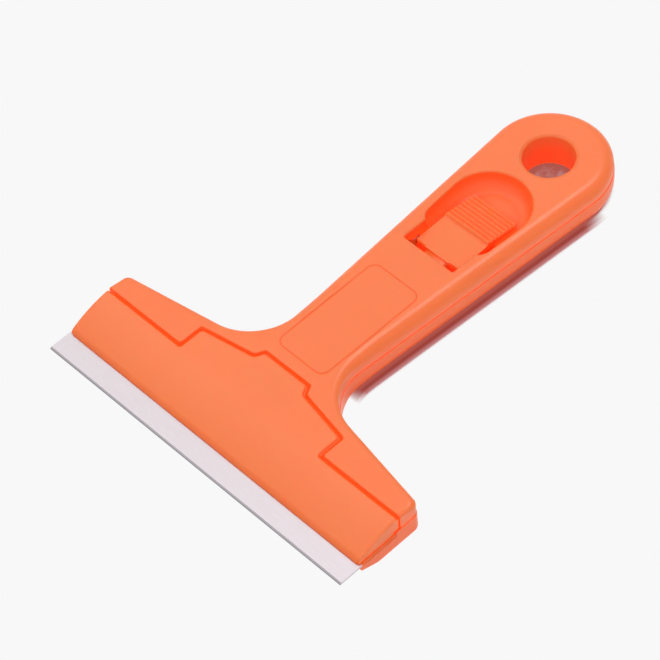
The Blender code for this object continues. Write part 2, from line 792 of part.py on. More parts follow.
def add_hinge_lugs(shell):
    stop_in = PIN_LENGTH / 2 + CLEARANCE
    for side in (-1, 1):
        lug = rod("lug_%d" % side, LUG_WIDTH / 2, side * LUG_HALF, KNUCKLE_RADIUS)
        foot = block("lug_foot_%d" % side,
                     (side * LUG_HALF - LUG_WIDTH / 2, along(PIN_PLACE - KNUCKLE_RADIUS),
                      FLOOR_WALL / 2),
                     (side * LUG_HALF + LUG_WIDTH / 2, along(PIN_PLACE + KNUCKLE_RADIUS),
                      PIN_HEIGHT))
        join(lug, foot)
        join(shell, lug)
        low_x = min(side * stop_in, side * (stop_in + PIN_STOP_WALL))
        stop = block("pin_stop_%d" % side,
                     (low_x, along(PIN_PLACE - KNUCKLE_RADIUS), FLOOR_WALL / 2),
                     (low_x + PIN_STOP_WALL, along(PIN_PLACE + KNUCKLE_RADIUS),
                      PIN_HEIGHT + PIN_RADIUS))
        join(shell, stop)
    cut(shell, rod("pin_bore", stop_in - CLEARANCE / 2, 0, BORE_RADIUS))


def add_detent_posts(shell):
    """A slotted post each side holds the fixed end of a detent spring."""
    slot_half = DETENT_THICKNESS / 2 + CLEARANCE
    for side in (-1, 1):
        middle = side * DETENT_HALF
        holder = block("detent_post_%d" % side,
                       (middle - slot_half - BOSS_WALL, along(DETENT_FRONT - BOSS_WALL),
                        FLOOR_WALL / 2),
                       (middle + slot_half + BOSS_WALL, along(DETENT_FRONT + DETENT_POST_LENGTH),
                        DETENT_TOP))
        slit = block("detent_slit_%d" % side,
                     (middle - slot_half, along(DETENT_FRONT - CLEARANCE),
                      DETENT_LOW - CLEARANCE),
                     (middle + slot_half, along(DETENT_FRONT + 2 * DETENT_POST_LENGTH),
                      BODY_THICKNESS))
        cut(holder, slit)
        join(shell, holder)


def open_lower_shell(shell):
    """Hanging hole, screw holes and the seats of the screw heads."""
    cut(shell, HANG_HOLE)
    for title, place in screw_places().items():
        hole = post("screw_hole_" + title, place, SCREW_RADIUS + CLEARANCE, -OVERRUN,
                    BODY_THICKNESS)
        seat = post("head_seat_" + title, place, HEAD_RADIUS + CLEARANCE, -OVERRUN, HEAD_SEAT)
        cut(shell, hole, seat)


# Jaw
def jaw_top():
    """The jaw's back in profile, from the flat down to the lip's edge.

    The narrow arc at the lip is placed first. The wide arc leaves the flat
    without a crease where its centre is as far from the narrow one's as
    their radii differ.
    """
    drop = JAW_LIP_CENTRE_DROP
    behind_lip = math.sqrt(JAW_LIP_RADIUS ** 2 - drop ** 2)
    centre = Vector((LIP_PLACE + behind_lip, JAW_UNDER - drop))
    low = BODY_THICKNESS - JAW_TOP_RADIUS
    far = JAW_TOP_RADIUS - JAW_LIP_RADIUS
    flat = centre.x + math.sqrt(far ** 2 - (centre.y - low) ** 2)
    middle = Vector((flat, low))
    turn = math.atan2(centre.y - middle.y, centre.x - middle.x)
    end = math.atan2(drop, -behind_lip)
    wide = arc(middle, JAW_TOP_RADIUS, math.pi / 2, turn, 2 * ARC_STEPS)
    return wide + arc(centre, JAW_LIP_RADIUS, turn, end, ARC_STEPS)[1:]


def clamp_jaw(surface):
    """The press plate: side profile, cut to its plan, then knuckles and tail."""
    tab_rear = GROOVE_TAB + GROOVE_WIDTH
    step = GROOVE_WING - GROOVE_WIDTH / 2 + CLEARANCE
    heel = BLADE_WIDTH - CLEARANCE
    under = [
        (heel, JAW_UNDER), (heel, SEAM_HEIGHT + CLEARANCE), (step, SEAM_HEIGHT + CLEARANCE),
        (step, PLATE_UNDER), (tab_rear, PLATE_UNDER), (tab_rear, BODY_THICKNESS),
    ]
    profile = under + [(point.x, point.y) for point in jaw_top()]
    half = HEAD_HALF - JAW_END_INSET
    jaw = extruded("clamp_jaw", side_profile(profile), -half, half, PARTS, sideways=True)
    plan = rectangle(half, LIP_PLACE, OVERALL / 2, JAW_LIP_CORNER)
    trim = extruded("jaw_plan", plan, 0, BODY_THICKNESS + OVERRUN, CUTTERS)
    area = groove_area(-GROOVE_WIDTH / 2, 0)
    edge = extruded("jaw_groove_edge", area, 0, BODY_THICKNESS + OVERRUN, CUTTERS)
    keep(trim, edge)
    keep(jaw, trim)
    pockets("jaw_pocket", jaw, half, JAW_POCKET_FRONT, JAW_UNDER - OVERRUN, JAW_POCKET_ROOF)
    add_knuckles(jaw)
    set_origin(jaw, (0, along(PIN_PLACE), PIN_HEIGHT))
    finish(jaw, surface)


def add_knuckles(jaw):
    root = PLATE_UNDER + JAW_PLATE / 2
    for side in (-1, 1):
        for middle in (KNUCKLE_INNER_HALF, KNUCKLE_OUTER_HALF):
            title = "%d_%d" % (side, middle / CLEARANCE)
            knuckle = rod("knuckle_" + title, KNUCKLE_WIDTH / 2, side * middle, KNUCKLE_RADIUS)
            web = block("knuckle_web_" + title,
                        (side * middle - KNUCKLE_WIDTH / 2, along(PIN_PLACE - KNUCKLE_RADIUS),
                         PIN_HEIGHT),
                        (side * middle + KNUCKLE_WIDTH / 2, along(PIN_PLACE + KNUCKLE_RADIUS),
                         root))
            join(knuckle, web)
            join(jaw, knuckle)
    tab_edge = GROOVE_TAB - GROOVE_WIDTH
    tail = side_profile([
        (TAIL_ROOT, TAIL_UNDER), (TAIL_END, TAIL_UNDER), (TAIL_END, TAIL_TOP),
        (tab_edge, TAIL_TOP), (tab_edge, root), (TAIL_ROOT, root),
    ])
    join(jaw, extruded("jaw_tail", tail, -TAIL_HALF, TAIL_HALF, CUTTERS, sideways=True))
    cut(jaw, rod("jaw_bore", PIN_LENGTH, 0, BORE_RADIUS))


def hinge_pin(surface):
    pin = rod("hinge_pin", PIN_LENGTH / 2, 0, PIN_RADIUS, PARTS)
    bevel = pin.modifiers.new("edges", "BEVEL")
    bevel.width = PIN_CHAMFER
    bevel.segments = 1
    bevel.angle_limit = math.radians(60)
    finish(pin, surface)


def torsion_spring(surface):
    """A coil on the pin with a leg on the floor and a leg under the jaw."""
    radius = PIN_RADIUS + CLEARANCE + SPRING_WIRE
    start = Vector((-SPRING_TURNS * SPRING_PITCH / 2, along(PIN_PLACE), PIN_HEIGHT))
    leg_end = along(PIN_PLACE - SPRING_LEG)
    route = [Vector((start.x, leg_end, FLOOR_WALL + CLEARANCE + SPRING_WIRE))]
    steps = SPRING_TURNS * SPRING_TURN_POINTS + SPRING_TURN_POINTS // 2
    for index in range(steps + 1):
        turn = index / SPRING_TURN_POINTS
        angle = -math.pi / 2 + 2 * math.pi * turn
        place = Vector((turn * SPRING_PITCH * SPRING_TURNS * SPRING_TURN_POINTS / steps,
                        math.cos(angle) * radius, math.sin(angle) * radius))
        route.append(start + place)
    top = PLATE_UNDER - CLEARANCE - SPRING_WIRE
    route.append(Vector((route[-1].x, leg_end, top)))
    curve = bpy.data.curves.new("torsion_spring", "CURVE")
    curve.dimensions = "3D"
    curve.bevel_depth = SPRING_WIRE
    curve.bevel_resolution = 2
    curve.use_fill_caps = True
    spline = curve.splines.new("POLY")
    spline.points.add(len(route) - 1)
    for point, place in zip(spline.points, route):
        point.co = (*place, 1)
    coil = bpy.data.objects.new("torsion_spring", curve)
    PARTS.objects.link(coil)
    curve.materials.append(surface)


def blade(surface):
    profile = side_profile([
        (0, BLADE_UNDER), (BLADE_WIDTH, BLADE_UNDER), (BLADE_WIDTH, BLADE_TOP),
        (BLADE_EDGE_BEVEL, BLADE_TOP), (0, BLADE_UNDER + BLADE_EDGE_LAND),
    ])
    half = BLADE_LENGTH / 2
    strip = extruded("blade", profile, -half, half, PARTS, sideways=True)
    for side in (-1, 1):
        place = (side * PEG_SPACING / 2, BLADE_WIDTH - PEG_FROM_BLADE_BACK)
        cut(strip, post("blade_hole_%d" % side, place, PEG_RADIUS + CLEARANCE, 0, SEAM_HEIGHT))
    finish(strip, surface)


# Slider
def ridge_points():
    """Crests and valleys of the thumb ridges, front to rear."""
    points = []
    first = SLIDER_BACK + THUMB_COVE
    last = first + (RIDGE_COUNT - 1) * RIDGE_PITCH
    crest_half = RIDGE_PITCH / 6
    foot_half = RIDGE_PITCH / 3
    for index in range(RIDGE_COUNT):
        middle = first + index * RIDGE_PITCH
        share = (middle - first) / (last - first)
        drop = RIDGE_FRONT_DROP + (RIDGE_REAR_DROP - RIDGE_FRONT_DROP) * share
        crest = BODY_THICKNESS - drop
        points.append((middle - foot_half, crest - RIDGE_HEIGHT))
        points.append((middle - crest_half, crest))
        points.append((middle + crest_half, crest))
        points.append((middle + foot_half, crest - RIDGE_HEIGHT))
    return points


def lock_slider(surface):
    pad = BODY_THICKNESS - PAD_DROP
    under = SCOOP_FLOOR + CLEARANCE
    body_low = SLIDER_UNDER + CLEARANCE
    block_end = SLIDER_BACK + THUMB_BLOCK_LENGTH
    cove_foot = SLIDER_BACK - CLEARANCE
    cove = arc((cove_foot, pad + THUMB_COVE), THUMB_COVE, -math.pi / 2, -math.pi / 8,
               ARC_STEPS // 2)
    ridges = ridge_points()
    rear_top = ridges[-1][1]
    profile = [
        (SLIDER_FRONT, body_low), (SLIDER_BACK, body_low), (SLIDER_BACK, under),
        (block_end - THUMB_BLOCK_CHAMFER, under),
        (block_end, under + THUMB_BLOCK_RISE), (block_end, rear_top),
    ]
    profile += ridges[::-1][:-1]
    profile += [(p.x, p.y) for p in reversed(cove)]
    profile.append((SLIDER_FRONT, pad))
    slider = extruded("lock_slider", side_profile(profile), -SLIDER_HALF, SLIDER_HALF, PARTS,
                      sideways=True)
    add_tongue(slider)
    flange_top = SCOOP_UNDER - CLEARANCE
    flange = block("slider_flange",
                   (-FLANGE_HALF, along(SLIDER_FRONT + CLEARANCE), SLIDER_UNDER),
                   (FLANGE_HALF, along(SLIDER_FRONT + FLANGE_LENGTH), flange_top))
    join(slider, flange)
    room = block("slider_hollow",
                 (-SLIDER_HALF + SLIDER_WALL, along(SLIDER_FRONT + SLIDER_WALL), 0),
                 (SLIDER_HALF - SLIDER_WALL, along(SLIDER_BACK - SLIDER_WALL),
                  pad - SLIDER_WALL))
    cut(slider, room)
    finish(slider, surface)


def add_tongue(slider):
    """The tongue under the handle's top wall, with the wedge at its nose.

    The wedge's ramp falls by the tail's drop over the slider's travel, so
    the tail follows it down as the slider is pulled back.
    """
    top = BODY_THICKNESS - TONGUE_DROP
    low = top - TONGUE_THICKNESS
    nose = TAIL_END - SLIDER_TRAVEL - CLEARANCE
    slope = TAIL_DROP / SLIDER_TRAVEL
    nose_top = WEDGE_TOP - slope * (TAIL_END - nose)
    crest_end = TAIL_END + WEDGE_CREST
    rise_end = crest_end + (top - WEDGE_TOP) / 2
    root = SLIDER_FRONT + SLIDER_WALL / 2
    profile = side_profile([
        (nose, SLIDER_UNDER), (crest_end, SLIDER_UNDER), (rise_end, low), (root, low),
        (root, top), (rise_end, top), (crest_end, WEDGE_TOP), (TAIL_END, WEDGE_TOP),
        (nose, nose_top),
    ])
    join(slider, extruded("tongue", profile, -TONGUE_HALF, TONGUE_HALF, CUTTERS,
                          sideways=True))


def detent_spring(name, side, surface):
    """A steel strip bent in at its free end to click on the slider's side."""
    near = side * (SLIDER_HALF + CLEARANCE + DETENT_THICKNESS / 2)
    line = side * DETENT_HALF
    path = [
        (line, DETENT_FRONT), (line, DETENT_BEND),
        (near, DETENT_BEND + DETENT_TIP_LENGTH),
        (near + side * DETENT_TIP_REACH, DETENT_BEND + 2 * DETENT_TIP_LENGTH),
    ]
    verts = []
    for height in (DETENT_LOW, DETENT_TOP):
        verts += [(x, along(distance), height) for x, distance in path]
    count = len(path)
    faces = [(i, i + 1, count + i + 1, count + i) for i in range(count - 1)]
    mesh = bpy.data.meshes.new(name)
    mesh.from_pydata(verts, [], faces)
    strip = put(name, mesh, PARTS)
    wall = strip.modifiers.new("wall", "SOLIDIFY")
    wall.thickness = DETENT_THICKNESS
    wall.offset = 0
    finish(strip, surface)


def shell_screw(name, place, surface):
    """Pan head below, pointed thread above, at its seat in the lower shell."""
    neck = HEAD_DEEP + HEAD_HEIGHT
    tip = neck + SCREW_LENGTH
    rows = [(0, tip), (SCREW_RADIUS, tip - SCREW_TIP), (SCREW_RADIUS, neck), (HEAD_RADIUS, neck)]
    round_height = HEAD_HEIGHT * HEAD_ROUND_SHARE
    for index in range(EDGE_SEGMENTS + 1):
        angle = math.pi / 2 * index / EDGE_SEGMENTS
        radius = HEAD_RADIUS - round_height * (1 - math.cos(angle))
        rows.append((radius, HEAD_DEEP + round_height * (1 - math.sin(angle))))
    rows.append((0, HEAD_DEEP))
    screw = turned(name, rows, PARTS, (place[0], along(place[1]), 0), SCREW_SIDES)
    finish(screw, surface)


DETENT_LOW = SCOOP_UNDER
DETENT_TOP = DETENT_LOW + DETENT_HEIGHT
RAIL_TOP = WEDGE_TOP

ORANGE = material("orange_plastic", (0.93, 0.18, 0.045, 1.0), 0.45)
ORANGE_JAW = material("orange_plastic_jaw", (0.93, 0.17, 0.04, 1.0), 0.45)
ORANGE_SLIDER = material("orange_plastic_slider", (0.93, 0.16, 0.035, 1.0), 0.42)
BLADE_STEEL = material("blade_steel", (0.78, 0.76, 0.77, 1.0), 0.28, 1.0)
SPRING_STEEL = material("spring_steel", (0.55, 0.55, 0.56, 1.0), 0.35, 1.0)
ZINC = material("zinc_plated_steel", (0.70, 0.69, 0.66, 1.0), 0.35, 1.0)

upper_shell(ORANGE)
lower_shell(ORANGE)
clamp_jaw(ORANGE_JAW)
hinge_pin(SPRING_STEEL)
torsion_spring(SPRING_STEEL)
blade(BLADE_STEEL)
lock_slider(ORANGE_SLIDER)
detent_spring("detent_spring_left", -1, SPRING_STEEL)
detent_spring("detent_spring_right", 1, SPRING_STEEL)
for title, place in screw_places().items():
    shell_screw("shell_screw_" + title, place, ZINC)
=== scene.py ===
# %% [markdown]
# A scraper that clamps a strip blade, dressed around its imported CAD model.
# The frame gives every solid in metres, blade towards -Y, handle towards +Y
# and the table at Z = 0. Each visible piece is worked out again here with
# smoother roundings, and gets a material that says how it was made.

# %% Load the frame
import math

import bmesh
import bpy
import numpy as np
from mathutils import Matrix, Vector


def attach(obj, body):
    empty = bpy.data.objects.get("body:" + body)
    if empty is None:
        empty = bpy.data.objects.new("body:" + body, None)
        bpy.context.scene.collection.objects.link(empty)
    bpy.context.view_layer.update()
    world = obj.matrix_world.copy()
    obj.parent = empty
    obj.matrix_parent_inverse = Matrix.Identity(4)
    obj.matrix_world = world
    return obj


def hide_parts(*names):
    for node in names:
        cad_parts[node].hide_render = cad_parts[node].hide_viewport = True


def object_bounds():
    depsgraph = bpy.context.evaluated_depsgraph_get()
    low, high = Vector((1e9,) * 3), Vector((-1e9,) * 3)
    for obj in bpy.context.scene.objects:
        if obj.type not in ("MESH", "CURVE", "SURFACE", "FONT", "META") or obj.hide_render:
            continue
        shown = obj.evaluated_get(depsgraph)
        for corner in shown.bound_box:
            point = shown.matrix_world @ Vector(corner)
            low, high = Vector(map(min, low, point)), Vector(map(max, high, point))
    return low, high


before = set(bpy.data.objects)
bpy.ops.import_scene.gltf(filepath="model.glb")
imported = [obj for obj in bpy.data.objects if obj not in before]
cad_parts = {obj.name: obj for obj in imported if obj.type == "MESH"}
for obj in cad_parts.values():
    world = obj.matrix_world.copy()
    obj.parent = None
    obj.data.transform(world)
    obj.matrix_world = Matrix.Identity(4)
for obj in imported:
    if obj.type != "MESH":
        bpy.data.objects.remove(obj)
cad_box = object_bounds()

print("nodes in the frame:", len(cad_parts))

# %% [markdown]
# The camera comes first, because every other choice is judged through it.
# The photograph was taken with a long lens from above and to the right of
# the blade. The three angles and the distance were fitted to the outline.

# %% Camera
AZIMUTH = math.radians(50.623)
ELEVATION = math.radians(51.508)
ROLL = math.radians(-6.299)
SIGHT_DISTANCE = 0.78000
SIGHT_POINT = Vector((-0.007420, -0.016674, 0.0))
LENS_MM = 175.794


def camera_turn(azimuth, elevation, roll):
    """Columns right, up and back of a camera that looks down at the table."""
    level = math.cos(elevation)
    back = Vector((math.sin(azimuth) * level, -math.cos(azimuth) * level, math.sin(elevation)))
    side = Vector((0, 0, 1)).cross(back).normalized()
    above = back.cross(side)
    right = side * math.cos(roll) + above * math.sin(roll)
    up = above * math.cos(roll) - side * math.sin(roll)
    return Matrix((right, up, back)).transposed()


turn = camera_turn(AZIMUTH, ELEVATION, ROLL)
lens = bpy.data.cameras.new("portrait_lens")
lens.lens = LENS_MM
lens.clip_end = 50.0
camera = bpy.data.objects.new("portrait_camera", lens)
camera.matrix_world = Matrix.Translation(SIGHT_POINT + turn.col[2] * SIGHT_DISTANCE) @ turn.to_4x4()
bpy.context.scene.collection.objects.link(camera)
bpy.context.scene.camera = camera
bpy.context.scene.view_settings.view_transform = "Standard"
print("camera at", tuple(round(value, 4) for value in camera.matrix_world.translation))

# %% [markdown]
# Colours are picked as sRGB hex values, and Blender works in linear light,
# so one function turns the first into the second. A second one adds a node
# with its settings and links, and it is enough for every material here.

# %% Helpers for materials


def linear(code):
    """The linear RGBA value of an sRGB hex colour."""
    parts = np.array([int(code[i:i + 2], 16) for i in (0, 2, 4)]) / 255
    light = np.where(parts <= 0.04045, parts / 12.92, ((parts + 0.055) / 1.055) ** 2.4)
    return (*light.tolist(), 1.0)


def set_inputs(tree, node, inputs):
    """Gives each named socket of a node its value, or links another socket to it."""
    for name, value in inputs.items():
        if isinstance(value, bpy.types.NodeSocket):
            tree.links.new(value, node.inputs[name])
        else:
            node.inputs[name].default_value = value


def add_node(tree, kind, settings, inputs):
    """A node of one kind: settings are its own, inputs are values or sockets to link."""
    node = tree.nodes.new(kind)
    for name, value in settings.items():
        setattr(node, name, value)
    set_inputs(tree, node, inputs)
    return node


def new_material(name):
    """A material whose tree holds only the shader and the output."""
    finish = bpy.data.materials.new(name)
    finish.use_nodes = True
    return finish, finish.node_tree, finish.node_tree.nodes["Principled BSDF"]


print("mid grey 808080 in linear light:", round(linear("808080")[0], 3))

# %% [markdown]
# Blender measures in metres, and a scraper is easier to think about in
# millimetres. Distances along the tool start at the blade's edge, because
# that is where it was measured, so one offset turns them into Y.

# %% Units and places
MILLIMETRE = 0.001
lower_corner, upper_corner = cad_box
LENGTH = (upper_corner[1] - lower_corner[1]) / MILLIMETRE
TOP = upper_corner[2] / MILLIMETRE


def to_y(distance):
    """Y in millimetres of a distance from the blade's edge."""
    return distance - LENGTH / 2


print("length", round(LENGTH, 2), "mm, thickness", round(TOP, 2), "mm")

# %% [markdown]
# The handle, the jaw and the slider are moulded in an orange plastic. A
# mould leaves a satin skin with very fine spark-eroded grain, which softens
# the highlight and has no direction. The colour drifts a little with the
# flow of the melt. Light goes a millimetre or two into this plastic and out
# again, so its grooves and corners glow in a deeper orange instead of turning
# black. Subsurface scattering gives a part of that. The rest is painted
# light, which stands in for light that came through the thin walls.
# Ambient occlusion tells how open a place is: 1 on a flat top, about a half
# at the foot of a wall, near 0 deep inside. Where it is low the colour is
# painted a deeper orange as shade, the gloss is made weaker as painted shade
# on the reflections, and the plastic gets a painted glow, an emission
# though it is no lamp. Close to the table this fades, because there it is
# only the table that is near, and in the narrowest places it is strongest.

# %% Settings of the moulded plastic
DRIFT_MM = 22.0
GRAIN_MM = 0.35
# these ambient occlusion thresholds place the painted shade and the painted glow in hollows
OPEN_PLACE = 0.96
CLOSED_PLACE = 0.44
INNER_PLACE = (0.42, 0.20)
TABLE_FADE_MM = 6.0
# painted shade colour of the hollows, and the colour and strength of the painted glow
HOLLOW_SHADE_COLOR = "FF3604"
PAINTED_GLOW_COLOR = "FF7028"
PAINTED_GLOW = 0.24
INNER_PAINTED_GLOW = 0.20
print("colour drifts over", DRIFT_MM, "mm, grain of", GRAIN_MM, "mm")

# %% Moulded plastic


def moulded_plastic(name, light, deep, roughness, depth_mm, reach_mm=9.0):
    """Satin moulded plastic: slow drift of colour, fine grain in bump and gloss.

    Hollows are looked for within reach_mm and get a painted shade, weaker specular and a painted
    glow; the grain is depth_mm deep.
    """
    finish, tree, shader = new_material(name)
    place = add_node(tree, "ShaderNodeTexCoord", {}, {}).outputs["Object"]
    drift = add_node(tree, "ShaderNodeTexNoise", {},
                     {"Vector": place, "Scale": 1 / (DRIFT_MM * MILLIMETRE), "Detail": 3.0})
    blend = add_node(tree, "ShaderNodeMix", {"data_type": "RGBA"},
                     {"Factor": drift.outputs["Fac"], "A": linear(light), "B": linear(deep)})
    # ambient occlusion finds the hollows that get the painted shade and the painted glow
    near = add_node(tree, "ShaderNodeAmbientOcclusion", {"samples": 8},
                    {"Distance": reach_mm * MILLIMETRE})
    closed = add_node(tree, "ShaderNodeMapRange", {"clamp": True},
                      {"Value": near.outputs["AO"], "From Min": OPEN_PLACE,
                       "From Max": CLOSED_PLACE, "To Max": 0.85})
    split = add_node(tree, "ShaderNodeSeparateXYZ", {}, {"Vector": place})
    clear = add_node(tree, "ShaderNodeMapRange", {"clamp": True},
                     {"Value": split.outputs["Z"], "From Max": TABLE_FADE_MM * MILLIMETRE,
                      "To Min": 0.25})
    inner = add_node(tree, "ShaderNodeMapRange", {"clamp": True},
                     {"Value": near.outputs["AO"], "From Min": INNER_PLACE[0],
                      "From Max": INNER_PLACE[1]})
    shown = add_node(tree, "ShaderNodeMath", {"operation": "MAXIMUM"},
                     {0: clear.outputs["Result"], 1: inner.outputs["Result"]})
    hollow_shade_glow = add_node(tree, "ShaderNodeMath", {"operation": "MULTIPLY"},
                      {0: closed.outputs["Result"], 1: shown.outputs["Value"]})
    # painted shade on the reflections: the specular level drops from 0.5 to 0.1 in hollows
    specular_shade = add_node(tree, "ShaderNodeMapRange", {"clamp": True},
                     {"Value": hollow_shade_glow.outputs["Value"], "To Min": 0.5, "To Max": 0.1})
    # painted shade: the colour turns a deeper orange in hollows
    body = add_node(tree, "ShaderNodeMix", {"data_type": "RGBA"},
                    {"Factor": hollow_shade_glow.outputs["Value"], "A": blend.outputs["Result"],
                     "B": linear(HOLLOW_SHADE_COLOR)})
    # painted glow: an emission in hollows, more in the narrowest, though the plastic is no lamp
    painted_glow = add_node(tree, "ShaderNodeMath", {"operation": "MULTIPLY"},
                    {0: hollow_shade_glow.outputs["Value"], 1: PAINTED_GLOW})
    painted_glow = add_node(tree, "ShaderNodeMath", {"operation": "MULTIPLY_ADD"},
                    {0: inner.outputs["Result"], 1: INNER_PAINTED_GLOW, 2: painted_glow.outputs["Value"]})
    grain = add_node(tree, "ShaderNodeTexNoise", {},
                     {"Vector": place, "Scale": 1 / (GRAIN_MM * MILLIMETRE), "Detail": 4.0,
                      "Roughness": 0.65})
    gloss = add_node(tree, "ShaderNodeMapRange", {},
                     {"Value": grain.outputs["Fac"], "From Min": 0.3, "From Max": 0.7,
                      "To Min": roughness - 0.04, "To Max": roughness + 0.05})
    bump = add_node(tree, "ShaderNodeBump", {},
                    {"Height": grain.outputs["Fac"], "Strength": 1.0,
                     "Distance": depth_mm * MILLIMETRE})
    set_inputs(tree, shader, {"Base Color": body.outputs["Result"],
                              "Emission Color": linear(PAINTED_GLOW_COLOR),
                              "Emission Strength": painted_glow.outputs["Value"],
                              "Specular IOR Level": specular_shade.outputs["Result"],
                              "Roughness": gloss.outputs["Result"],
                              "Normal": bump.outputs["Normal"], "IOR": 1.49,
                              "Subsurface Weight": 0.6,
                              "Subsurface Radius": (1.0, 0.30, 0.10),
                              "Subsurface Scale": 1.6 * MILLIMETRE})
    return finish


shell_plastic = moulded_plastic("moulded_orange_shell", "FE8346", "FB7B3E", 0.32, 0.010)
jaw_plastic = moulded_plastic("moulded_orange_jaw", "FF8548", "FD7D40", 0.34, 0.008)
slider_plastic = moulded_plastic("moulded_orange_slider", "FE8442", "FB7C3A", 0.34, 0.012, 0.7)
print("plastics:", shell_plastic.name, jaw_plastic.name, slider_plastic.name)

# %% [markdown]
# A strip blade is rolled, tempered and ground, and the last belt leaves fine
# lines along its length. They are a noise that is stretched along X, and it
# changes the gloss more than the colour. The cutting edge is ground again at
# a steeper angle, and its first tenth of a millimetre is painted a darker
# grey, a painted shade that reads as a thin line. The springs are drawn wire
# and strip, and the screws carry a bright zinc plate.

# %% Steels
EDGE_SHADE_BLEND_MM = 0.08


def stretched(tree, along_mm, across_mm):
    """Object coordinates divided by the length and the width of the brush lines."""
    place = add_node(tree, "ShaderNodeTexCoord", {}, {}).outputs["Object"]
    along, across = 1 / (along_mm * MILLIMETRE), 1 / (across_mm * MILLIMETRE)
    return add_node(tree, "ShaderNodeVectorMath", {"operation": "MULTIPLY"},
                    {0: place, 1: (along, across, across)}).outputs["Vector"]


def brushed_steel(name, light, deep, roughness, along_mm, across_mm, edge=None):
    """Steel with brush lines along X.

    edge is the place in Y where the painted shade along a ground edge ends, and the colour of that
    shade.
    """
    finish, tree, shader = new_material(name)
    lines = add_node(tree, "ShaderNodeTexNoise", {},
                     {"Vector": stretched(tree, along_mm, across_mm), "Scale": 1.0,
                      "Detail": 4.0, "Roughness": 0.6})
    color = add_node(tree, "ShaderNodeMix", {"data_type": "RGBA"},
                     {"Factor": lines.outputs["Fac"], "A": linear(light), "B": linear(deep)})
    color = color.outputs["Result"]
    # painted shade: a darker grey along the cutting edge, up to edge[0] in Y
    if edge:
        place = add_node(tree, "ShaderNodeTexCoord", {}, {}).outputs["Object"]
        apart = add_node(tree, "ShaderNodeSeparateXYZ", {}, {"Vector": place})
        past_edge_shade = add_node(tree, "ShaderNodeMapRange", {"clamp": True},
                        {"Value": apart.outputs["Y"], "From Min": edge[0] * MILLIMETRE,
                         "From Max": (edge[0] + EDGE_SHADE_BLEND_MM) * MILLIMETRE})
        color = add_node(tree, "ShaderNodeMix", {"data_type": "RGBA"},
                         {"Factor": past_edge_shade.outputs["Result"], "A": linear(edge[1]),
                          "B": color}).outputs["Result"]
    gloss = add_node(tree, "ShaderNodeMapRange", {},
                     {"Value": lines.outputs["Fac"], "From Min": 0.3, "From Max": 0.7,
                      "To Min": roughness - 0.06, "To Max": roughness + 0.08})
    set_inputs(tree, shader, {"Base Color": color, "Metallic": 1.0,
                              "Roughness": gloss.outputs["Result"]})
    return finish


# A4A2A8 is the painted shade along the first 0.12 mm of the cutting edge
blade_steel = brushed_steel("ground_blade_steel", "D6CED2", "CAC2C6", 0.42, 6.0, 0.12,
                            (to_y(0.12), "A4A2A8"))
spring_steel = brushed_steel("drawn_spring_steel", "C8C8CC", "B4B4B9", 0.25, 3.0, 0.1)
zinc_plate = brushed_steel("bright_zinc_plate", "C9CBCF", "B9BCC0", 0.30, 1.0, 1.0)
print("steels:", blade_steel.name, spring_steel.name, zinc_plate.name)

# %% [markdown]
# Every CAD solid gets the finish of its own material, so that a solid which
# stays visible matches the pieces round it.

# %% Finishes for the CAD solids
NODE_FINISHES = {"upper_shell": shell_plastic, "lower_shell": shell_plastic,
                 "clamp_jaw": jaw_plastic, "lock_slider": slider_plastic, "blade": blade_steel}
for name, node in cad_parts.items():
    plain = zinc_plate if name.startswith("shell_screw") else spring_steel
    node.data.materials.clear()
    node.data.materials.append(NODE_FINISHES.get(name, plain))
print("solids with a finish:", len(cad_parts))

# %% [markdown]
# A moulded part is mostly outlines with rounded corners, stacked in height.
# The corner rule: a circle of radius r touches two lines that meet at the
# half angle h at a distance r / tan(h) from the corner, and its centre is
# r / sin(h) away along the bisector. All corners are worked out at once.

# %% Outlines with rounded corners


def unit(vectors):
    """The vectors with length 1."""
    return vectors / np.linalg.norm(vectors, axis=-1, keepdims=True)


def rounded_line(corners, radii, steps=14):
    """An open line through corners, with an arc at each inner one."""
    corners = np.array(corners, float)
    radii = np.array(radii, float)[:, None]
    middle = corners[1:-1]
    back = unit(corners[:-2] - middle)
    ahead = unit(corners[2:] - middle)
    half = np.arccos(np.clip((back * ahead).sum(1, keepdims=True), -1, 1)) / 2
    centre = middle + unit(back + ahead) * radii / np.sin(half)
    start = middle + back * radii / np.tan(half) - centre
    stop = middle + ahead * radii / np.tan(half) - centre
    begin = np.arctan2(start[:, 1], start[:, 0])
    cross = start[:, 0] * stop[:, 1] - start[:, 1] * stop[:, 0]
    turn = np.arctan2(cross, (start * stop).sum(1))
    angle = begin[:, None] + turn[:, None] * np.linspace(0, 1, steps + 1)
    arcs = centre[:, None] + radii[:, None] * np.stack([np.cos(angle), np.sin(angle)], -1)
    return np.concatenate([corners[:1], arcs.reshape(-1, 2), corners[-1:]])


def rounded_loop(corners, radii, steps=14):
    """The closed form of rounded_line: the first corner is rounded too."""
    corners = np.array(corners, float)
    ring = np.concatenate([corners[-1:], corners, corners[:1]])
    return rounded_line(ring, radii, steps)[1:-1]


def moved_line(corners, inset):
    """An open line with every side moved to its left by inset."""
    corners = np.array(corners, float)
    side = unit(np.diff(corners, axis=0))
    normal = np.stack([-side[:, 1], side[:, 0]], 1)
    first = np.concatenate([normal[:1], normal])
    last = np.concatenate([normal, normal[-1:]])
    return corners + (first + last) / (1 + (first * last).sum(1, keepdims=True)) * inset


def arc(centre, radius, angle):
    """Points on a circle, one for each angle."""
    return np.column_stack([np.cos(angle), np.sin(angle)]) * radius + centre


def round_ended(right, centre, radius, taper, count):
    """A line on the right, the arc round its end, and the line's mirror image."""
    angle = np.linspace(-taper, math.pi + taper, count)[1:-1]
    return np.concatenate([right, arc((0, centre), radius, angle), right[::-1] * (-1, 1)])


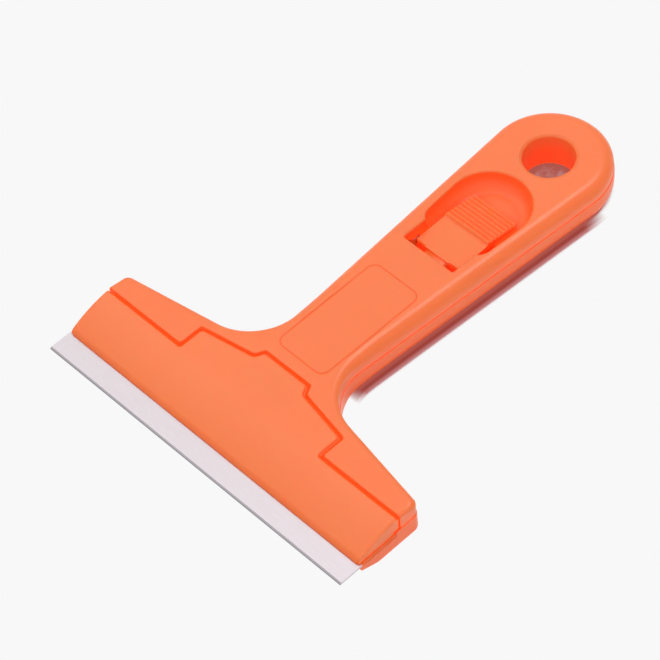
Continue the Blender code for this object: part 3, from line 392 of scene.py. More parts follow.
square = rounded_loop([(5, -5), (5, 5), (-5, 5), (-5, -5)], [2.0] * 4)
print("points round a square with rounded corners:", len(square))

# %% [markdown]
# A rounded edge is a stack of the same outline, moved inwards a little more
# at each height. Each side of the outline has its own inset, so the wings
# can have a tighter edge than the handle. Where two sides with the insets a
# and b meet, the point moves by v with v.n1 = a and v.n2 = b.

# %% Stacks of outlines


def inset_loop(loop, amount):
    """A closed anticlockwise loop, every side moved inwards by its amount."""
    ahead = unit(np.roll(loop, -1, 0) - loop)
    normal = np.stack([-ahead[:, 1], ahead[:, 0]], 1)
    before = np.roll(normal, 1, 0)
    amount_before = np.roll(amount, 1)
    along = (normal * before).sum(1)
    bend = np.maximum(1 - along ** 2, 1e-9)
    first = ((amount_before - amount * along) / bend)[:, None] * before
    second = ((amount - amount_before * along) / bend)[:, None] * normal
    mean = (before + normal) * ((amount + amount_before) / 2 / (1 + along))[:, None]
    return loop + np.where(along[:, None] > 0.97, mean, first + second)


def stack(loop, insets, heights):
    """Rings (level, point, xyz) of a loop; insets and heights are per level and point."""
    rings = []
    for amount, height in zip(insets, heights):
        flat = inset_loop(loop, np.broadcast_to(amount, len(loop)).astype(float))
        rings.append(np.column_stack([flat, np.broadcast_to(height, len(loop))]))
    return np.array(rings)


def skin(rings, joined=False):
    """Quads between the rings of a grid, and a face over each end.

    Point (i, j) of the grid has the number i * n + j, so the quad from it is
    (i, j), (i, j + 1), (i + 1, j + 1), (i + 1, j), with j + 1 taken modulo n.
    When joined, the last ring leads back to the first, as on a bent tube.
    """
    levels, count = rings.shape[:2]
    number = np.arange(levels * count).reshape(levels, count)
    if joined:
        number = np.concatenate([number, number[:1]])
    ahead = np.roll(number, -1, 1)
    quads = np.stack([number[:-1], ahead[:-1], ahead[1:], number[1:]], -1).reshape(-1, 4)
    faces = quads.tolist()
    if not joined:
        faces += [number[0, ::-1].tolist(), number[-1].tolist()]
    return rings.reshape(-1, 3), faces


def body_from(name, points, faces):
    """A mesh object from points in millimetres."""
    mesh = bpy.data.meshes.new(name)
    mesh.from_pydata((points * MILLIMETRE).tolist(), [], faces)
    mesh.validate()
    piece = bpy.data.objects.new(name, mesh)
    bpy.context.scene.collection.objects.link(piece)
    return piece


def upright(loop, heights):
    """The same ring at each height."""
    return np.array([np.column_stack([loop, np.full(len(loop), z)]) for z in heights])


def stacked_body(name, loop, insets, heights):
    """The body between the rings of a loop."""
    return body_from(name, *skin(stack(loop, insets, heights)))


def quarter(steps):
    """How far in (0 to 1) and how far down (1 to 0) a rounded edge is, from its foot up."""
    angle = np.linspace(0, math.pi / 2, steps + 1)
    return 1 - np.cos(angle), 1 - np.sin(angle)


def swept_body(name, profile, reach):
    """A closed profile in (distance, height), anticlockwise, carried along X both ways."""
    places = np.column_stack([to_y(profile[:, 0]), profile[:, 1]])
    return body_from(name, *skin(upright(places, (-reach, reach))[:, :, [2, 0, 1]]))


rings = stack(square, [0.0, 0.5], [0.0, 1.0])
print("faces between two rings, with both ends:", len(skin(rings)[1]))

# %% [markdown]
# The real scraper gets its holes and pockets from slides and cores in the
# mould. Here a tool body is taken out of, added to or kept from a piece, and
# the result is worked out straight away, so that the finished piece is one
# plain closed mesh. The exact solver is slower than the fast one, and it
# keeps the mesh closed where bodies only just touch.

# %% Adding and taking away
WALL_DEPTHS = {"upper_shell": (0.8, 1.05), "lower_shell": (0.83, 1.1), "clamp_jaw": (0.7, 0.95)}


def carve(piece, operation, *tools):
    """Applies one exact Boolean after another and drops the tools."""
    for tool in tools:
        step = piece.modifiers.new("carve", "BOOLEAN")
        step.operation = operation
        step.solver = "EXACT"
        step.object = tool
        graph = bpy.context.evaluated_depsgraph_get()
        result = bpy.data.meshes.new_from_object(piece.evaluated_get(graph))
        piece.modifiers.clear()
        old = piece.data
        piece.data = result
        bpy.data.meshes.remove(old)
        drop(tool)
    return piece


def drop(thing):
    """Deletes an object and its mesh."""
    mesh = thing.data
    bpy.data.objects.remove(thing)
    bpy.data.meshes.remove(mesh)


def twin(thing, name):
    """A copy of an object with a mesh of its own."""
    copy = bpy.data.objects.new(name, thing.data.copy())
    bpy.context.scene.collection.objects.link(copy)
    return copy


def solid_node(name):
    """A CAD solid as a plain closed mesh: its loose triangles are merged."""
    copy = twin(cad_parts[name], name + "_inside")
    shape = bmesh.new()
    shape.from_mesh(copy.data)
    bmesh.ops.remove_doubles(shape, verts=shape.verts, dist=0.0005 * MILLIMETRE)
    shape.to_mesh(copy.data)
    shape.free()
    return copy


def box_body(name, first, second):
    """A box between two opposite corners."""
    low, high = np.minimum(first, second), np.maximum(first, second)
    loop = np.array([(low[0], low[1]), (high[0], low[1]), (high[0], high[1]), (low[0], high[1])])
    return body_from(name, *skin(upright(loop, (low[2], high[2]))))


def dress(name, outside, core):
    """Puts a fine outside on a CAD node and keeps the CAD's inside.

    core is the function that makes the core below a depth. The CAD solid is
    kept inside the first core, the fine body outside the deeper one, and the
    two overlap in the wall between them.
    """
    shallow, deep = WALL_DEPTHS[name]
    inside = carve(solid_node(name), "INTERSECT", core(shallow))
    carve(outside, "DIFFERENCE", core(deep))
    return carve(outside, "UNION", inside)


sample = carve(box_body("sample", (-2, -2, -2), (2, 2, 2)), "DIFFERENCE",
               box_body("sample_hole", (-1, -1, -3), (1, 1, 3)))
print("faces of a cube with a square hole:", len(sample.data.polygons))
drop(sample)

# %% [markdown]
# Every finished piece goes through the same last step: its name, its finish,
# smooth shading with sharp edges where faces meet at a clear angle, and the
# CAD body that it rides on.

# %% Finishing a piece


def settle(piece, name, body, surface, sharp_deg=38, replaced=()):
    """Names a finished piece, smooths its shading and hangs it on its CAD body."""
    piece.name = name
    piece.data.name = name
    piece.data.materials.clear()
    piece.data.materials.append(surface)
    piece.data.polygons.foreach_set("material_index", np.zeros(len(piece.data.polygons), int))
    piece.data.shade_smooth()
    piece.data.set_sharp_from_angle(angle=math.radians(sharp_deg))
    weight = piece.modifiers.new("flat_faces_stay_flat", "WEIGHTED_NORMAL")
    weight.keep_sharp = True
    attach(piece, body)
    if replaced:
        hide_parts(*replaced)
    print(name, len(piece.data.polygons), "faces")


print("cores of the moulded parts start at depths of", WALL_DEPTHS)

# %% [markdown]
# The plan of the body is one outline: two wings, a wide fillet at the neck,
# sides that open by a few degrees towards the rear, and a round end. The
# taper line touches the end circle where the circle's normal has the same
# angle, so the join has no corner.

# %% The body's outline
HEAD_HALF = 49.7
WING_REAR = 25.7
WING_SWEEP = math.tan(math.radians(9.9))
TAPER = math.radians(3.7)
END_RADIUS = 16.0
END_CENTRE = 121.8
GROOVE = 19.5
HALF_GROOVE = 0.5
SEAM = 6.4
CORNER_RADIUS = 2.0
NECK_RADIUS = 13.8
NECK_START = 6
NECK_LENGTH = 22


def body_line(front, inset=0.0):
    """Right front corner, round the handle's end, to the left front corner."""
    half = HEAD_HALF - inset
    radius = END_RADIUS - inset
    rear = WING_REAR - inset / math.cos(math.atan(WING_SWEEP)) + inset * WING_SWEEP
    touch = np.array([math.cos(TAPER) * radius, END_CENTRE - math.sin(TAPER) * radius])
    slope = math.tan(TAPER)
    foot = touch[0] - slope * touch[1]
    meet = (rear + WING_SWEEP * (half - foot)) / (1 + WING_SWEEP * slope)
    right = rounded_line([(half, front), (half, rear), (foot + slope * meet, meet), touch],
                         [max(CORNER_RADIUS - inset, 0.2), NECK_RADIUS + inset], 24)
    right = np.concatenate([right[:-2], np.linspace(right[-2], right[-1], 40)])
    return round_ended(right, END_CENTRE, radius, TAPER, 120)


def groove_line(shift):
    """The stepped groove behind the jaw, from left to right, moved rearwards by shift."""
    left = [(-60, GROOVE), (-23.9, GROOVE), (-23.9, GROOVE + 7.0), (-8.6, GROOVE + 9.8),
            (-7.4, GROOVE + 12.4)]
    corners = np.array(left + [(-x, y) for x, y in reversed(left)])
    radii = [0.8, 0.8, 1.8, 0.8]
    return rounded_line(moved_line(corners, shift), radii + radii[::-1], 10)


def at_place(loop):
    """The loop with distances from the blade's edge turned into Y."""
    return np.column_stack([loop[:, 0], to_y(loop[:, 1])])


def upper_plan(inset=0.0):
    """The upper shell from above, and which of its sides lie on the groove."""
    body = body_line(GROOVE + HALF_GROOVE + inset, inset)
    loop = np.concatenate([body, groove_line(HALF_GROOVE + inset)[1:-1]])
    return at_place(loop), np.arange(len(loop)) >= len(body) - 1


def handle_share(loop):
    """For each side of a loop, 0 on the wings and 1 on the handle, smooth at the neck."""
    distance = (loop + np.roll(loop, -1, 0))[:, 1] / 2 + LENGTH / 2
    part = np.clip((distance - WING_REAR - NECK_START) / NECK_LENGTH, 0, 1)
    return part * part * (3 - 2 * part)


def point_values(values):
    """Values of the sides, given to the points between them: the smaller of the two."""
    return np.minimum(values, np.roll(values, 1))


print("points round the upper shell:", len(upper_plan()[0]))

# %% [markdown]
# The upper shell is one moulding. Its edge is an ellipse, wider than high,
# which spreads the highlight along the handle. The scoop has a cove at its
# foot and a small round at its rim, and both come from quarter circles that
# are written as an inset and a height.

# %% Tools for the openings
RIM = 0.45
HOLE_RADIUS = 6.66
SCOOP_FLOOR = 6.1
COVE = 3.6
WINDOW = (8.3, 79.3, 87.4, 0.5)
HOLE_ROUND_BELOW, HOLE_ROUND_ABOVE = 1.0, 0.8


def scoop_line():
    """Thumb scoop: round at the rear, drawn in a little towards the window."""
    radius, centre, front, taper = 10.85, 100.35, 86.2, math.radians(4.0)
    touch = np.array([math.cos(taper) * radius, centre - math.sin(taper) * radius])
    foot = (touch[0] - math.tan(taper) * (touch[1] - front), front)
    right = rounded_line([(0, front), foot, touch], [4.2], 16)[1:]
    return at_place(round_ended(right, centre, radius, taper, 90))


def circle_line(radius, x=0.0, distance=END_CENTRE, count=96):
    """A circle, round the centre of the hanging hole when no other is given."""
    angle = np.linspace(0, 2 * math.pi, count, endpoint=False)
    return at_place(arc((x, distance), radius, angle))


def box_line(half, front, rear, corner):
    """A rectangle with rounded corners, from front to rear and half to each side."""
    return at_place(rounded_loop([(half, front), (half, rear), (-half, rear), (-half, front)],
                                 [corner] * 4, 8))


def rim_levels(radius):
    """Insets and heights of an opening's rim, from its foot to just above the top."""
    angle = np.linspace(0, math.radians(85), 7)
    flare = radius * (1 - np.cos(angle))
    rise = TOP - radius * (1 - np.sin(angle))
    return list(-flare) + [-flare[-1]], list(rise) + [TOP + 1]


def foot_levels(low, cove, grow=0.0):
    """Insets and heights of an opening's foot, larger all round by grow."""
    if not cove:
        return [-grow], [low]
    angle = np.linspace(0, math.pi / 2, 9)
    return list(cove * (1 - np.sin(angle)) - grow), list(low + cove * (1 - np.cos(angle)) - grow)


def opening(name, line, low, rim, cove=0.0):
    """A tool for an opening: a cove at its foot, straight walls, a rounded rim."""
    foot, rise = foot_levels(low, cove)
    flare, top = rim_levels(rim)
    return stacked_body(name, line, foot + flare, rise + top)


def plain_opening(name, line, low, grow, cove=0.0, high=TOP + 2):
    """The same opening, larger all round by grow and without a rim."""
    foot, rise = foot_levels(low, cove, grow)
    return stacked_body(name, line, foot + [-grow], rise + [high])


def hanging_hole(name):
    """The hole's tool, with a small round at both ends."""
    flare, top = rim_levels(HOLE_ROUND_ABOVE)
    angle = np.linspace(math.radians(85), 0, 6)
    low = list(-HOLE_ROUND_BELOW * (1 - np.cos(angle)))
    rise = list(HOLE_ROUND_BELOW * (1 - np.sin(angle)))
    return stacked_body(name, circle_line(HOLE_RADIUS), [low[0]] + low + flare, [-1] + rise + top)


print("scoop from", round(scoop_line()[:, 1].min() - to_y(0), 2), "to",
      round(scoop_line()[:, 1].max() - to_y(0), 2), "mm behind the blade's edge")

# %% [markdown]
# The label field has a thin moulded frame line. Its tool is a small V
# carried round a rounded rectangle, so it is a closed tube of quads.

# %% Upper shell
TOP_RADII = {"wing": (1.6, 1.3), "handle": (3.7, 2.7), "groove": (0.36, 0.32)}
UPPER_FOOT = SEAM + 0.17
GROOVE_LEDGE = 0.2
LABEL = (7.85, 35.85, 68.85, 2.3)
LABEL_HALF_LINE, LABEL_LINE_DEPTH = 0.26, 0.35
BOWL_WALL = 1.2
SHOULDER_WIDTH, SHOULDER_DEPTH = 1.2, 3.2
TUBE_RADIUS = 7.6


def edge_sizes(line, on_groove):
    """Width of the rounded edge on each side and its height at each point."""
    share = handle_share(line)
    width, height = [np.where(on_groove, groove, wing + (handle - wing) * share)
                     for wing, handle, groove in zip(*TOP_RADII.values())]
    return width, point_values(height)


def upper_outside():
    """The outline from the seam up, a ledge in the groove, and the rounded edge."""
    line, on_groove = upper_plan()
    width, height = edge_sizes(line, on_groove)
    inward, down = quarter(12)
    ledge = np.where(on_groove, -GROOVE_LEDGE, 0.0)
    foot = TOP - height
    insets = [ledge + 0.08, ledge, ledge, ledge * 0.4, ledge * 0]
    heights = [UPPER_FOOT - 0.12 + 0 * foot]
    heights += [UPPER_FOOT + (foot - UPPER_FOOT) * share for share in (0, 0.93, 0.955, 0.98)]
    insets += [width * share for share in inward]
    heights += [TOP - height * share for share in down]
    return stacked_body("upper_outside", line, insets, heights)


def label_groove():
    """Frame line: a V, half a millimetre wide, round the bare label field."""
    insets = [0.0, LABEL_HALF_LINE, 0.0, -LABEL_HALF_LINE]
    heights = [TOP + 0.3, TOP + 0.01, TOP - LABEL_LINE_DEPTH, TOP + 0.01]
    return body_from("label_groove", *skin(stack(box_line(*LABEL), insets, heights), joined=True))


def upper_core(depth):
    """Where the upper shell keeps the CAD's inside, with a slope below the wide round edge."""
    line, on_groove = upper_plan(depth)
    extra = np.where(on_groove, 0.0, SHOULDER_WIDTH * handle_share(line))
    core = stacked_body("upper_core", line, [0 * extra, 0 * extra, extra],
                        [-1, TOP - SHOULDER_DEPTH, TOP - depth])
    return carve(core, "DIFFERENCE",
                 plain_opening("core_scoop", scoop_line(), SCOOP_FLOOR, depth, COVE),
                 plain_opening("core_window", box_line(*WINDOW), 8.8, depth),
                 plain_opening("core_hole", circle_line(HOLE_RADIUS), -2, depth))


def upper_shell():
    """The scoop's bowl is added from below, and then the openings are cut."""
    outside = upper_outside()
    bowl = plain_opening("bowl", scoop_line(), SCOOP_FLOOR, BOWL_WALL, COVE, 9.0)
    carve(outside, "UNION", bowl)
    carve(outside, "DIFFERENCE",
          opening("scoop", scoop_line(), SCOOP_FLOOR, RIM, COVE),
          opening("window", box_line(*WINDOW), -1, RIM),
          box_body("slot", (-7.5, to_y(85.2), -1), (7.5, to_y(95.7), 9.5)),
          box_body("tail_way", (-3.9, to_y(29.0), -1), (3.9, to_y(34.9), 8.6)))
    shell = dress("upper_shell", outside, upper_core)
    tube = stacked_body("tube", circle_line(TUBE_RADIUS, count=72), [0, 0, 0], [1.3, 5.0, 9.0])
    carve(shell, "UNION", tube)
    carve(shell, "DIFFERENCE", hanging_hole("hole"), label_groove())
    settle(shell, "upper_shell_moulding", "body", shell_plastic,
           replaced=["upper_shell"])


upper_shell()

# %% [markdown]
# The lower shell closes the body from below. On the handle its underside is
# rounded much more than on the wings, which is why the tool seems to float
# a little above the table.

# %% Lower shell
UNDER_RADII = {"wing": 1.8, "handle": 3.4}
SCREWS = [(31.0, 23.6), (7.2, 40.0), (10.4, 113.0)]
SEAT_RADIUS, SEAT_DEPTH = 2.52, 2.12
SEAM_STEP = 0.15
NOSE_FRONT = 7.0
BLADE_BED = 4.69


def under_size(line):
    """The radius under each side of a loop."""
    share = handle_share(line)
    return UNDER_RADII["wing"] + (UNDER_RADII["handle"] - UNDER_RADII["wing"]) * share


def lower_outside():
    """The outline from the rounded underside up to the seam, where it steps in."""
    line = at_place(body_line(NOSE_FRONT))
    size = under_size(line)
    height = point_values(size)
    angle = np.linspace(0, math.pi / 2, 12)
    insets = [size * (1 - math.sin(a)) - SEAM_STEP for a in angle]
    insets += [-SEAM_STEP + 0 * size, 0 * size]
    heights = [height * (1 - math.cos(a)) for a in angle]
    heights += [np.full(len(size), SEAM - 0.13), np.full(len(size), SEAM - 0.01)]
    return stacked_body("lower_outside", line, insets, heights)


def nose_wedge(name, lift):
    """The space under the nose: everything below its bevel, higher by lift."""
    tip, heel = np.array([NOSE_FRONT, 3.3]), np.array([15.5, 0.0])
    along = unit(heel - tip)
    up = np.array([-along[1], along[0]]) * lift
    start, stop = tip - along * 6 + up, heel + along * 6 + up
    profile = np.array([start, (start[0], stop[1] - 2), (stop[0], stop[1] - 2), stop])
    return swept_body(name, profile, 60)


def lower_core(depth):
    """Where the lower shell keeps the CAD's inside."""
    rows = [(depth + 2.2, depth), (depth, 3.6 + depth), (depth, 20)]
    rings = [upright(at_place(body_line(NOSE_FRONT + inset, inset)), [z]) for inset, z in rows]
    core = body_from("lower_core", *skin(np.concatenate(rings)))
    return carve(core, "DIFFERENCE", nose_wedge("core_nose", depth))


def screw_seats():
    """Upright posts where the six screw heads sit, as one body each."""
    return [stacked_body("seat", circle_line(SEAT_RADIUS, side * x, distance, 48),
                         [0, 0], [-1, SEAT_DEPTH])
            for x, distance in SCREWS for side in (-1, 1)]


def lower_shell():
    """The bed for the blade and the seats are cut, and the bed gets a rim at each end."""
    outside = lower_outside()
    carve(outside, "DIFFERENCE",
          box_body("bed", (-60, to_y(0), BLADE_BED), (60, to_y(18.31), 9)),
          nose_wedge("nose", 0.01), *screw_seats())
    for side in (-1, 1):
        carve(outside, "UNION", box_body("end_rim", (side * 49.25, to_y(7.4), 4.0),
                                         (side * 49.8, to_y(19), 5.74)))
    shell = dress("lower_shell", outside, lower_core)
    bore = stacked_body("bore", circle_line(7.75, count=72), [0, 0], [1.25, 20])
    carve(shell, "DIFFERENCE", hanging_hole("hole"), bore)
    settle(shell, "lower_shell_moulding", "body", shell_plastic,
           replaced=["lower_shell"])


lower_shell()

# %% [markdown]
# The jaw is a long rounded bar with a plate behind it. A profile drawn in
# the length and height of the tool is carried along the blade, and the plan
# with the stepped rear edge cuts it to shape. The plan's own top edge is
# rounded too, at a height that follows the back of the jaw.

# %% Jaw
JAW_HALF = 49.5
LIP = 6.3
JAW_END_ROUND = 1.2
JAW_END_EDGE = 0.7
JAW_EDGE_WIDTH, JAW_EDGE_HEIGHT = 0.32, 0.36
JAW_LEDGE = 0.4
JAW_LEDGE_DEPTHS = (0.60, 0.48)


def jaw_back():
    """The jaw's back in (distance, height), from the flat plate to the lip."""
    wide, narrow, under, sink = 30.0, 3.0, 5.8, 1.35
    behind = math.sqrt(narrow ** 2 - sink ** 2)
    centre = np.array([LIP + behind, under - sink])
    low = TOP - wide
    middle = np.array([centre[0] + math.sqrt((wide - narrow) ** 2 - (centre[1] - low) ** 2), low])
    turn = math.atan2(centre[1] - middle[1], centre[0] - middle[0])
    end = math.atan2(sink, -behind)
    back = arc(middle, wide, np.linspace(math.pi / 2, turn, 48))
    lip = arc(centre, narrow, np.linspace(turn, end, 18)[1:])
    return np.concatenate([back, lip])


def jaw_plan_line(inset=0.0):
    """The jaw from above, and which of its sides are not on the groove."""
    half, front = JAW_HALF + 0.02 - inset, LIP - 0.4 + inset
    rear = GROOVE - HALF_GROOVE - inset
    lip = rounded_line([(-half, rear), (-half, front), (half, front), (half, rear)],
                       [JAW_END_ROUND] * 2, 10)
    end = np.linspace(lip[0], lip[1], 24)[:-1]
    lip = np.concatenate([end, lip[1:-1], end[::-1] * (-1, 1)])
    loop = np.concatenate([lip, groove_line(-HALF_GROOVE - inset)[1:-1][::-1]])
    return at_place(loop), np.arange(len(loop)) < len(lip) - 1


def jaw_plan():
    """The jaw's plan as a body whose groove edges are rounded at the jaw's own height."""
    line, free = jaw_plan_line()
    back = jaw_back()[::-1]
    height = np.interp(line[:, 1] + LENGTH / 2, back[:, 0], back[:, 1])
    ledge = np.where(free, 0.0, -JAW_LEDGE)
    inward, down = quarter(8)
    beside = np.abs(line + np.roll(line, -1, 0))[:, 0] / 2 - (JAW_HALF - JAW_END_ROUND)
    size = np.where(free, JAW_END_EDGE * np.clip(beside / JAW_END_ROUND, 0, 1), JAW_EDGE_WIDTH)
    insets = [ledge, ledge, ledge * 0.4] + [size * share for share in inward[:-1]]
    heights = [-6 + 0 * height] + [height - depth for depth in JAW_LEDGE_DEPTHS]
    heights += [height - JAW_EDGE_HEIGHT * share - 0.002 for share in down[:-1]]
    return stacked_body("jaw_plan", line, insets + [size], heights + [14 + 0 * height])


def jaw_core(depth):
    """Where the jaw keeps the CAD's inside."""
    deep = moved_line(jaw_back(), depth)
    profile = np.concatenate([[(deep[-1, 0], -6), (45, -6), (45, TOP - depth)], deep])
    core = swept_body("jaw_core", profile, JAW_HALF - depth)
    plan = body_from("jaw_core_plan", *skin(upright(jaw_plan_line(depth)[0], (-5, 13))))
    return carve(core, "INTERSECT", plan)


def clamp_jaw():
    """The profile carried along the blade, cut to the plan."""
    under = [(17.69, 5.81), (17.69, 6.71), (19.3, 6.71), (19.3, 8.71), (36, 8.71), (36, TOP)]
    bar = swept_body("jaw_bar", np.concatenate([under, jaw_back()]), JAW_HALF)
    carve(bar, "INTERSECT", jaw_plan())
    jaw = dress("clamp_jaw", bar, jaw_core)
    settle(jaw, "clamp_jaw_moulding", "jaw", jaw_plastic, replaced=["clamp_jaw"])


clamp_jaw()

# %% [markdown]
# The slider is the only piece that a thumb touches. Its ridges follow a
# cosine, so they are soft on top and have no sharp valleys, and their crest
# line falls towards the rear. A cove leads from the flat pad up to them.

# %% Slider
SLIDER_HALF = 7.2
SLIDER_FRONT = 82.1
SLIDER_REAR = 102.9
SLIDER_EDGE = 0.32
PAD = TOP - 2.8
PAD_COVE = 1.1
FIRST_RIDGE = 93.1
FIRST_CREST = TOP - 1.9
CREST_FALL = 1.5
RIDGE_HEIGHT = 0.54
PITCH = 1.32


def ridge_height(distance):
    """z = crest line - h (1 - cos(2 pi (d - first) / pitch)) / 2, with h the ridge height."""
    fall = (distance - FIRST_RIDGE) / (7 * PITCH)
    crest = FIRST_CREST - CREST_FALL * fall
    wave = np.cos(2 * math.pi * (distance - FIRST_RIDGE) / PITCH)
    return crest - RIDGE_HEIGHT / 2 * (1 - wave)


def slider_back():
    """Pad, cove and ridges in (distance, height), front to rear."""
    nose = arc((SLIDER_FRONT + 0.5, PAD - 0.5), 0.5, np.linspace(math.pi, math.pi / 2, 7))
    cove = arc((91.7, PAD + PAD_COVE), PAD_COVE,
               np.linspace(-math.pi / 2, -math.radians(24), 9))
    places = np.linspace(92.95, 102.75, 110)
    return np.concatenate([nose, cove, np.column_stack([places, ridge_height(places)])])


def slider_plan():
    """The slider from above, its top edges rounded over by a third of a millimetre."""
    half, front, rear = SLIDER_HALF, SLIDER_FRONT, SLIDER_REAR
    nose = rounded_line([(-half, 100), (-half, front), (half, front), (half, 100)], [0.7] * 2, 8)
    side = np.column_stack([np.full(60, half), np.linspace(83.4, 102.3, 60)])
    corner = rounded_line([(half, 102.4), (half, rear), (0, rear)], [0.45], 6)[1:-1]
    right = np.concatenate([side, corner])
    line = np.concatenate([nose[1:-1], right, right[::-1] * (-1, 1)])
    back = slider_back()
    height = np.interp(line[:, 1], back[:, 0], np.maximum.accumulate(back[::-1, 1])[::-1])
    inward, down = quarter(6)
    insets = [0 * height] + [SLIDER_EDGE * share + 0 * height for share in inward]
    heights = [0 * height] + [height - SLIDER_EDGE * share - 0.002 for share in down[:-1]]
    return stacked_body("slider_plan", at_place(line), insets, heights + [12 + 0 * height])


def lock_slider():
    """The new back above, and the CAD's tongue and underside below."""
    rear = [(SLIDER_REAR, 7.0), (SLIDER_REAR, 6.93), (101.1, 6.41), (91.89, 6.41),
            (91.89, 5.9), (SLIDER_FRONT, 5.9)]
    profile = np.concatenate([slider_back(), rear])[::-1]
    block = swept_body("slider_block", profile, SLIDER_HALF + 0.2)
    carve(block, "INTERSECT", slider_plan())
    core = box_body("slider_low", (-20, to_y(40), -1), (20, to_y(120), 6.2))
    carve(core, "UNION", box_body("slider_nose", (-4, to_y(39), -2), (4, to_y(82.7), 9)))
    carve(block, "UNION", carve(solid_node("lock_slider"), "INTERSECT", core))
    settle(block, "lock_slider_moulding", "slider", slider_plastic, 42,
           replaced=["lock_slider"])


lock_slider()

# %% [markdown]
# A strip blade is slit from tempered band, ground to an edge on one side
# and brushed along its length. Two holes sit over pegs in the lower shell.

# %% Blade
BLADE_HALF = 49.96
BLADE_UNDER = 5.0
BLADE_TOP = 5.5
BLADE_DEPTH = 18
GROUND_EDGE = 0.5
PEG_RADIUS, PEG_X, PEG_PLACE = 2.4, 27.0, 12.5


def blade():
    """The strip with its ground edge, the notches at its ends and the two holes."""
    profile = np.array([(0, BLADE_UNDER), (BLADE_DEPTH, BLADE_UNDER),
                        (BLADE_DEPTH, BLADE_TOP - 0.03), (BLADE_DEPTH - 0.03, BLADE_TOP),
                        (GROUND_EDGE, BLADE_TOP), (0, BLADE_UNDER + 0.08)])
    strip = swept_body("blade_strip", profile, BLADE_HALF)
    for side in (-1, 1):
        hole = circle_line(PEG_RADIUS, side * PEG_X, PEG_PLACE, 72)
        carve(strip, "DIFFERENCE",
              box_body("end_notch", (side * 49.1, to_y(7.1), 4), (side * 51.0, to_y(19), 7)),
              stacked_body("peg_hole", hole, [0, 0], [4, 7]))
    settle(strip, "blade_strip", "body", blade_steel, 20, replaced=["blade"])


blade()

# %% [markdown]
# The screws are driven from below and only show from the back. Their pan
# heads are turned shapes with a cross recess pressed into them.

# %% Screws
SCREW_HEAD = 2.2
HEAD_ROUND = 0.77
SHANK = 1.2
RECESS = (1.15, 0.28)


def screw(name, x, distance):
    """Pan head, shank and point, from (radius, height) rows, with a cross recess."""
    angle = np.linspace(0, math.pi / 2, 7)
    rows = [(SCREW_HEAD - HEAD_ROUND * (1 - math.sin(a)), 0.4 + HEAD_ROUND * (1 - math.cos(a)))
            for a in angle]
    rows += [(SCREW_HEAD, 1.8), (SHANK, 1.81), (SHANK, 7.6), (0.05, 8.8)]
    radii, heights = np.array(rows).T
    line = circle_line(SCREW_HEAD, x, distance, 48)
    body = stacked_body(name + "_turned", line, list(SCREW_HEAD - radii), list(heights))
    for long, short in (RECESS, RECESS[::-1]):
        carve(body, "DIFFERENCE",
              box_body("recess", (x - long, to_y(distance) - short, -1),
                       (x + long, to_y(distance) + short, 1.25)))
    settle(body, name + "_turned", "body", zinc_plate, 30, replaced=[name])


for place, (x, distance) in zip(("wing", "neck", "rear"), SCREWS):
    screw("shell_screw_" + place + "_right", x, distance)
    screw("shell_screw_" + place + "_left", -x, distance)

# %% [markdown]
# The photograph was cut out: the table is one flat pale grey, and only the
# narrow shade right under the tool is left. The floor here does the same.
# To the camera, and in reflections, it is a flat grey that darkens where
# ambient occlusion finds the tool within a few millimetres: first to mauve,
# then to a dark red from the plastic next to it. A longer reach finds the
# floor at the bottom of the hanging hole. The photograph has no shade round
# the head and the far end, so there the colours are turned off by the place
# along Y. For the light that bounces onto the tool the floor stays a plain
# matt sheet.

# %% Floor
FLOOR_HALF = 6.0
PAPER = (0.93, 0.93, 0.93, 1.0)
TABLE_TONE = "F8F8F8"
FRONT_FADE = (45, 41)
REAR_FADE = (117, 124)
TOUCH_REACH_MM = 4.5
DEEP_REACH_MM = 12
TOUCH_SHADES = [(0.73, 0.78, "BE7676"), (0.56, 0.66, "9C4038")]
DEEP_SHADE = (0.38, 0.46, "B0564C")


def highest(tree, first, second):
    """The larger of two values."""
    return add_node(tree, "ShaderNodeMath", {"operation": "MAXIMUM"},
                    {0: first, 1: second}).outputs["Value"]


def faded(tree, along, places):
    """0 at the first of two distances from the blade's edge, 1 at the second."""
    first, last = to_y(np.array(places)) * MILLIMETRE
    return add_node(tree, "ShaderNodeMapRange", {"clamp": True},
                    {"Value": along, "From Min": first, "From Max": last}).outputs["Result"]


def shaded(tree, tone, near, off, shade):
    """The tone, or the shade's colour where near is low, unless it is turned off."""
    dark, pale, color = shade
    clear = add_node(tree, "ShaderNodeMapRange", {"clamp": True},
                     {"Value": near.outputs["AO"], "From Min": dark, "From Max": pale})
    shown = highest(tree, clear.outputs["Result"], off)
    return add_node(tree, "ShaderNodeMix", {"data_type": "RGBA"},
                    {"Factor": shown, "A": linear(color), "B": tone}).outputs["Result"]


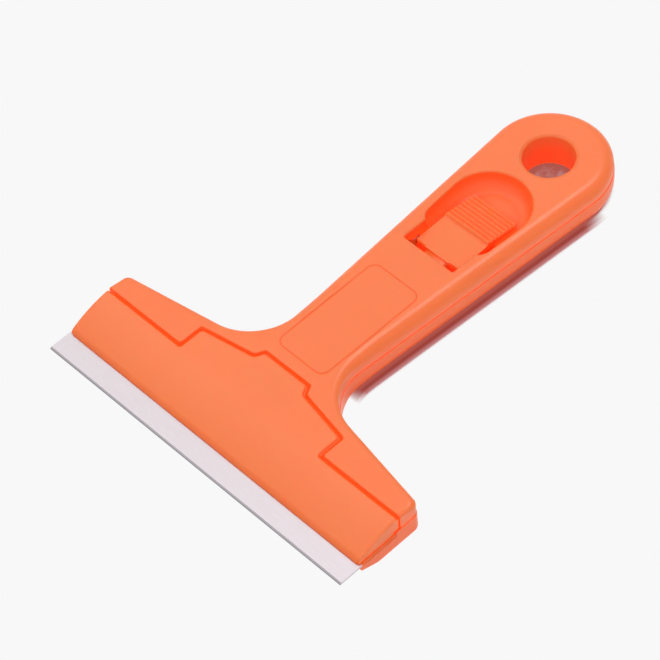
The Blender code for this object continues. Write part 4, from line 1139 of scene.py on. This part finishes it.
def floor_material():
    """A flat tone with the shades for the camera, matt paper for bounced light."""
    finish, tree, shader = new_material("matt_white_paper")
    set_inputs(tree, shader, {"Base Color": PAPER, "Roughness": 1.0, "Specular IOR Level": 0.0})
    place = add_node(tree, "ShaderNodeTexCoord", {}, {}).outputs["Object"]
    along = add_node(tree, "ShaderNodeSeparateXYZ", {}, {"Vector": place}).outputs["Y"]
    front = faded(tree, along, FRONT_FADE)
    ends = highest(tree, front, faded(tree, along, REAR_FADE))
    touch = add_node(tree, "ShaderNodeAmbientOcclusion", {"samples": 48},
                     {"Distance": TOUCH_REACH_MM * MILLIMETRE})
    deep = add_node(tree, "ShaderNodeAmbientOcclusion", {"samples": 16},
                    {"Distance": DEEP_REACH_MM * MILLIMETRE})
    tone = linear(TABLE_TONE)
    for shade in TOUCH_SHADES:
        tone = shaded(tree, tone, touch, ends, shade)
    tone = shaded(tree, tone, deep, front, DEEP_SHADE)
    flat = add_node(tree, "ShaderNodeEmission", {}, {"Color": tone, "Strength": 1.0})
    path = add_node(tree, "ShaderNodeLightPath", {}, {})
    reflected = highest(tree, path.outputs["Is Glossy Ray"], path.outputs["Is Transmission Ray"])
    both = add_node(tree, "ShaderNodeMixShader", {},
                    {0: highest(tree, path.outputs["Is Camera Ray"], reflected),
                     1: shader.outputs["BSDF"], 2: flat.outputs["Emission"]})
    tree.links.new(both.outputs["Shader"], tree.nodes["Material Output"].inputs["Surface"])
    return finish


def pale_floor():
    """A sheet at the height of the table, for the picture only."""
    mesh = bpy.data.meshes.new("studio_floor")
    corners = np.array([(-1, -1, 0), (1, -1, 0), (1, 1, 0), (-1, 1, 0)], float) * FLOOR_HALF
    mesh.from_pydata(corners.tolist(), [], [(0, 1, 2, 3)])
    mesh.materials.append(floor_material())
    floor = bpy.data.objects.new("studio_floor", mesh)
    bpy.context.scene.collection.objects.link(floor)


pale_floor()
print("the floor reaches", FLOOR_HALF, "m to each side")

# %% [markdown]
# Most of the light comes from the white surroundings. Four soft lights add
# shape: one behind the tool and one on its left, which the top and the jaw
# mirror as a pale veil, a narrow one that draws the highlight along the near
# edge, and a wide one in front. Together they are as bright as a colour
# needs to render about as it was written.

# %% Light
AIR_STRENGTH = 0.55


def soft_lamp(name, azimuth, elevation, strength, spread):
    """A sun with a wide disc: from one side, as soft as a large softbox."""
    lamp = bpy.data.lights.new(name, "SUN")
    lamp.energy = strength
    lamp.angle = math.radians(spread)
    holder = bpy.data.objects.new(name, lamp)
    tilt = camera_turn(math.radians(azimuth), math.radians(elevation), 0)
    holder.matrix_world = tilt.to_4x4()
    bpy.context.scene.collection.objects.link(holder)


soft_lamp("back_softbox", 231.7, 53.0, 0.40, 60.0)
soft_lamp("left_softbox", 288.0, 56.0, 0.34, 50.0)
soft_lamp("edge_softbox", 190.0, 64.0, 0.42, 14.0)
soft_lamp("front_softbox", 32.0, 45.0, 0.55, 80.0)

world = bpy.data.worlds.new("studio_air")
bpy.context.scene.world = world
world.use_nodes = True
sky = world.node_tree.nodes["Background"]
sky.inputs["Color"].default_value = (1, 1, 1, 1)
sky.inputs["Strength"].default_value = AIR_STRENGTH
print("lamps:", len(bpy.data.lights), "and air of", AIR_STRENGTH)
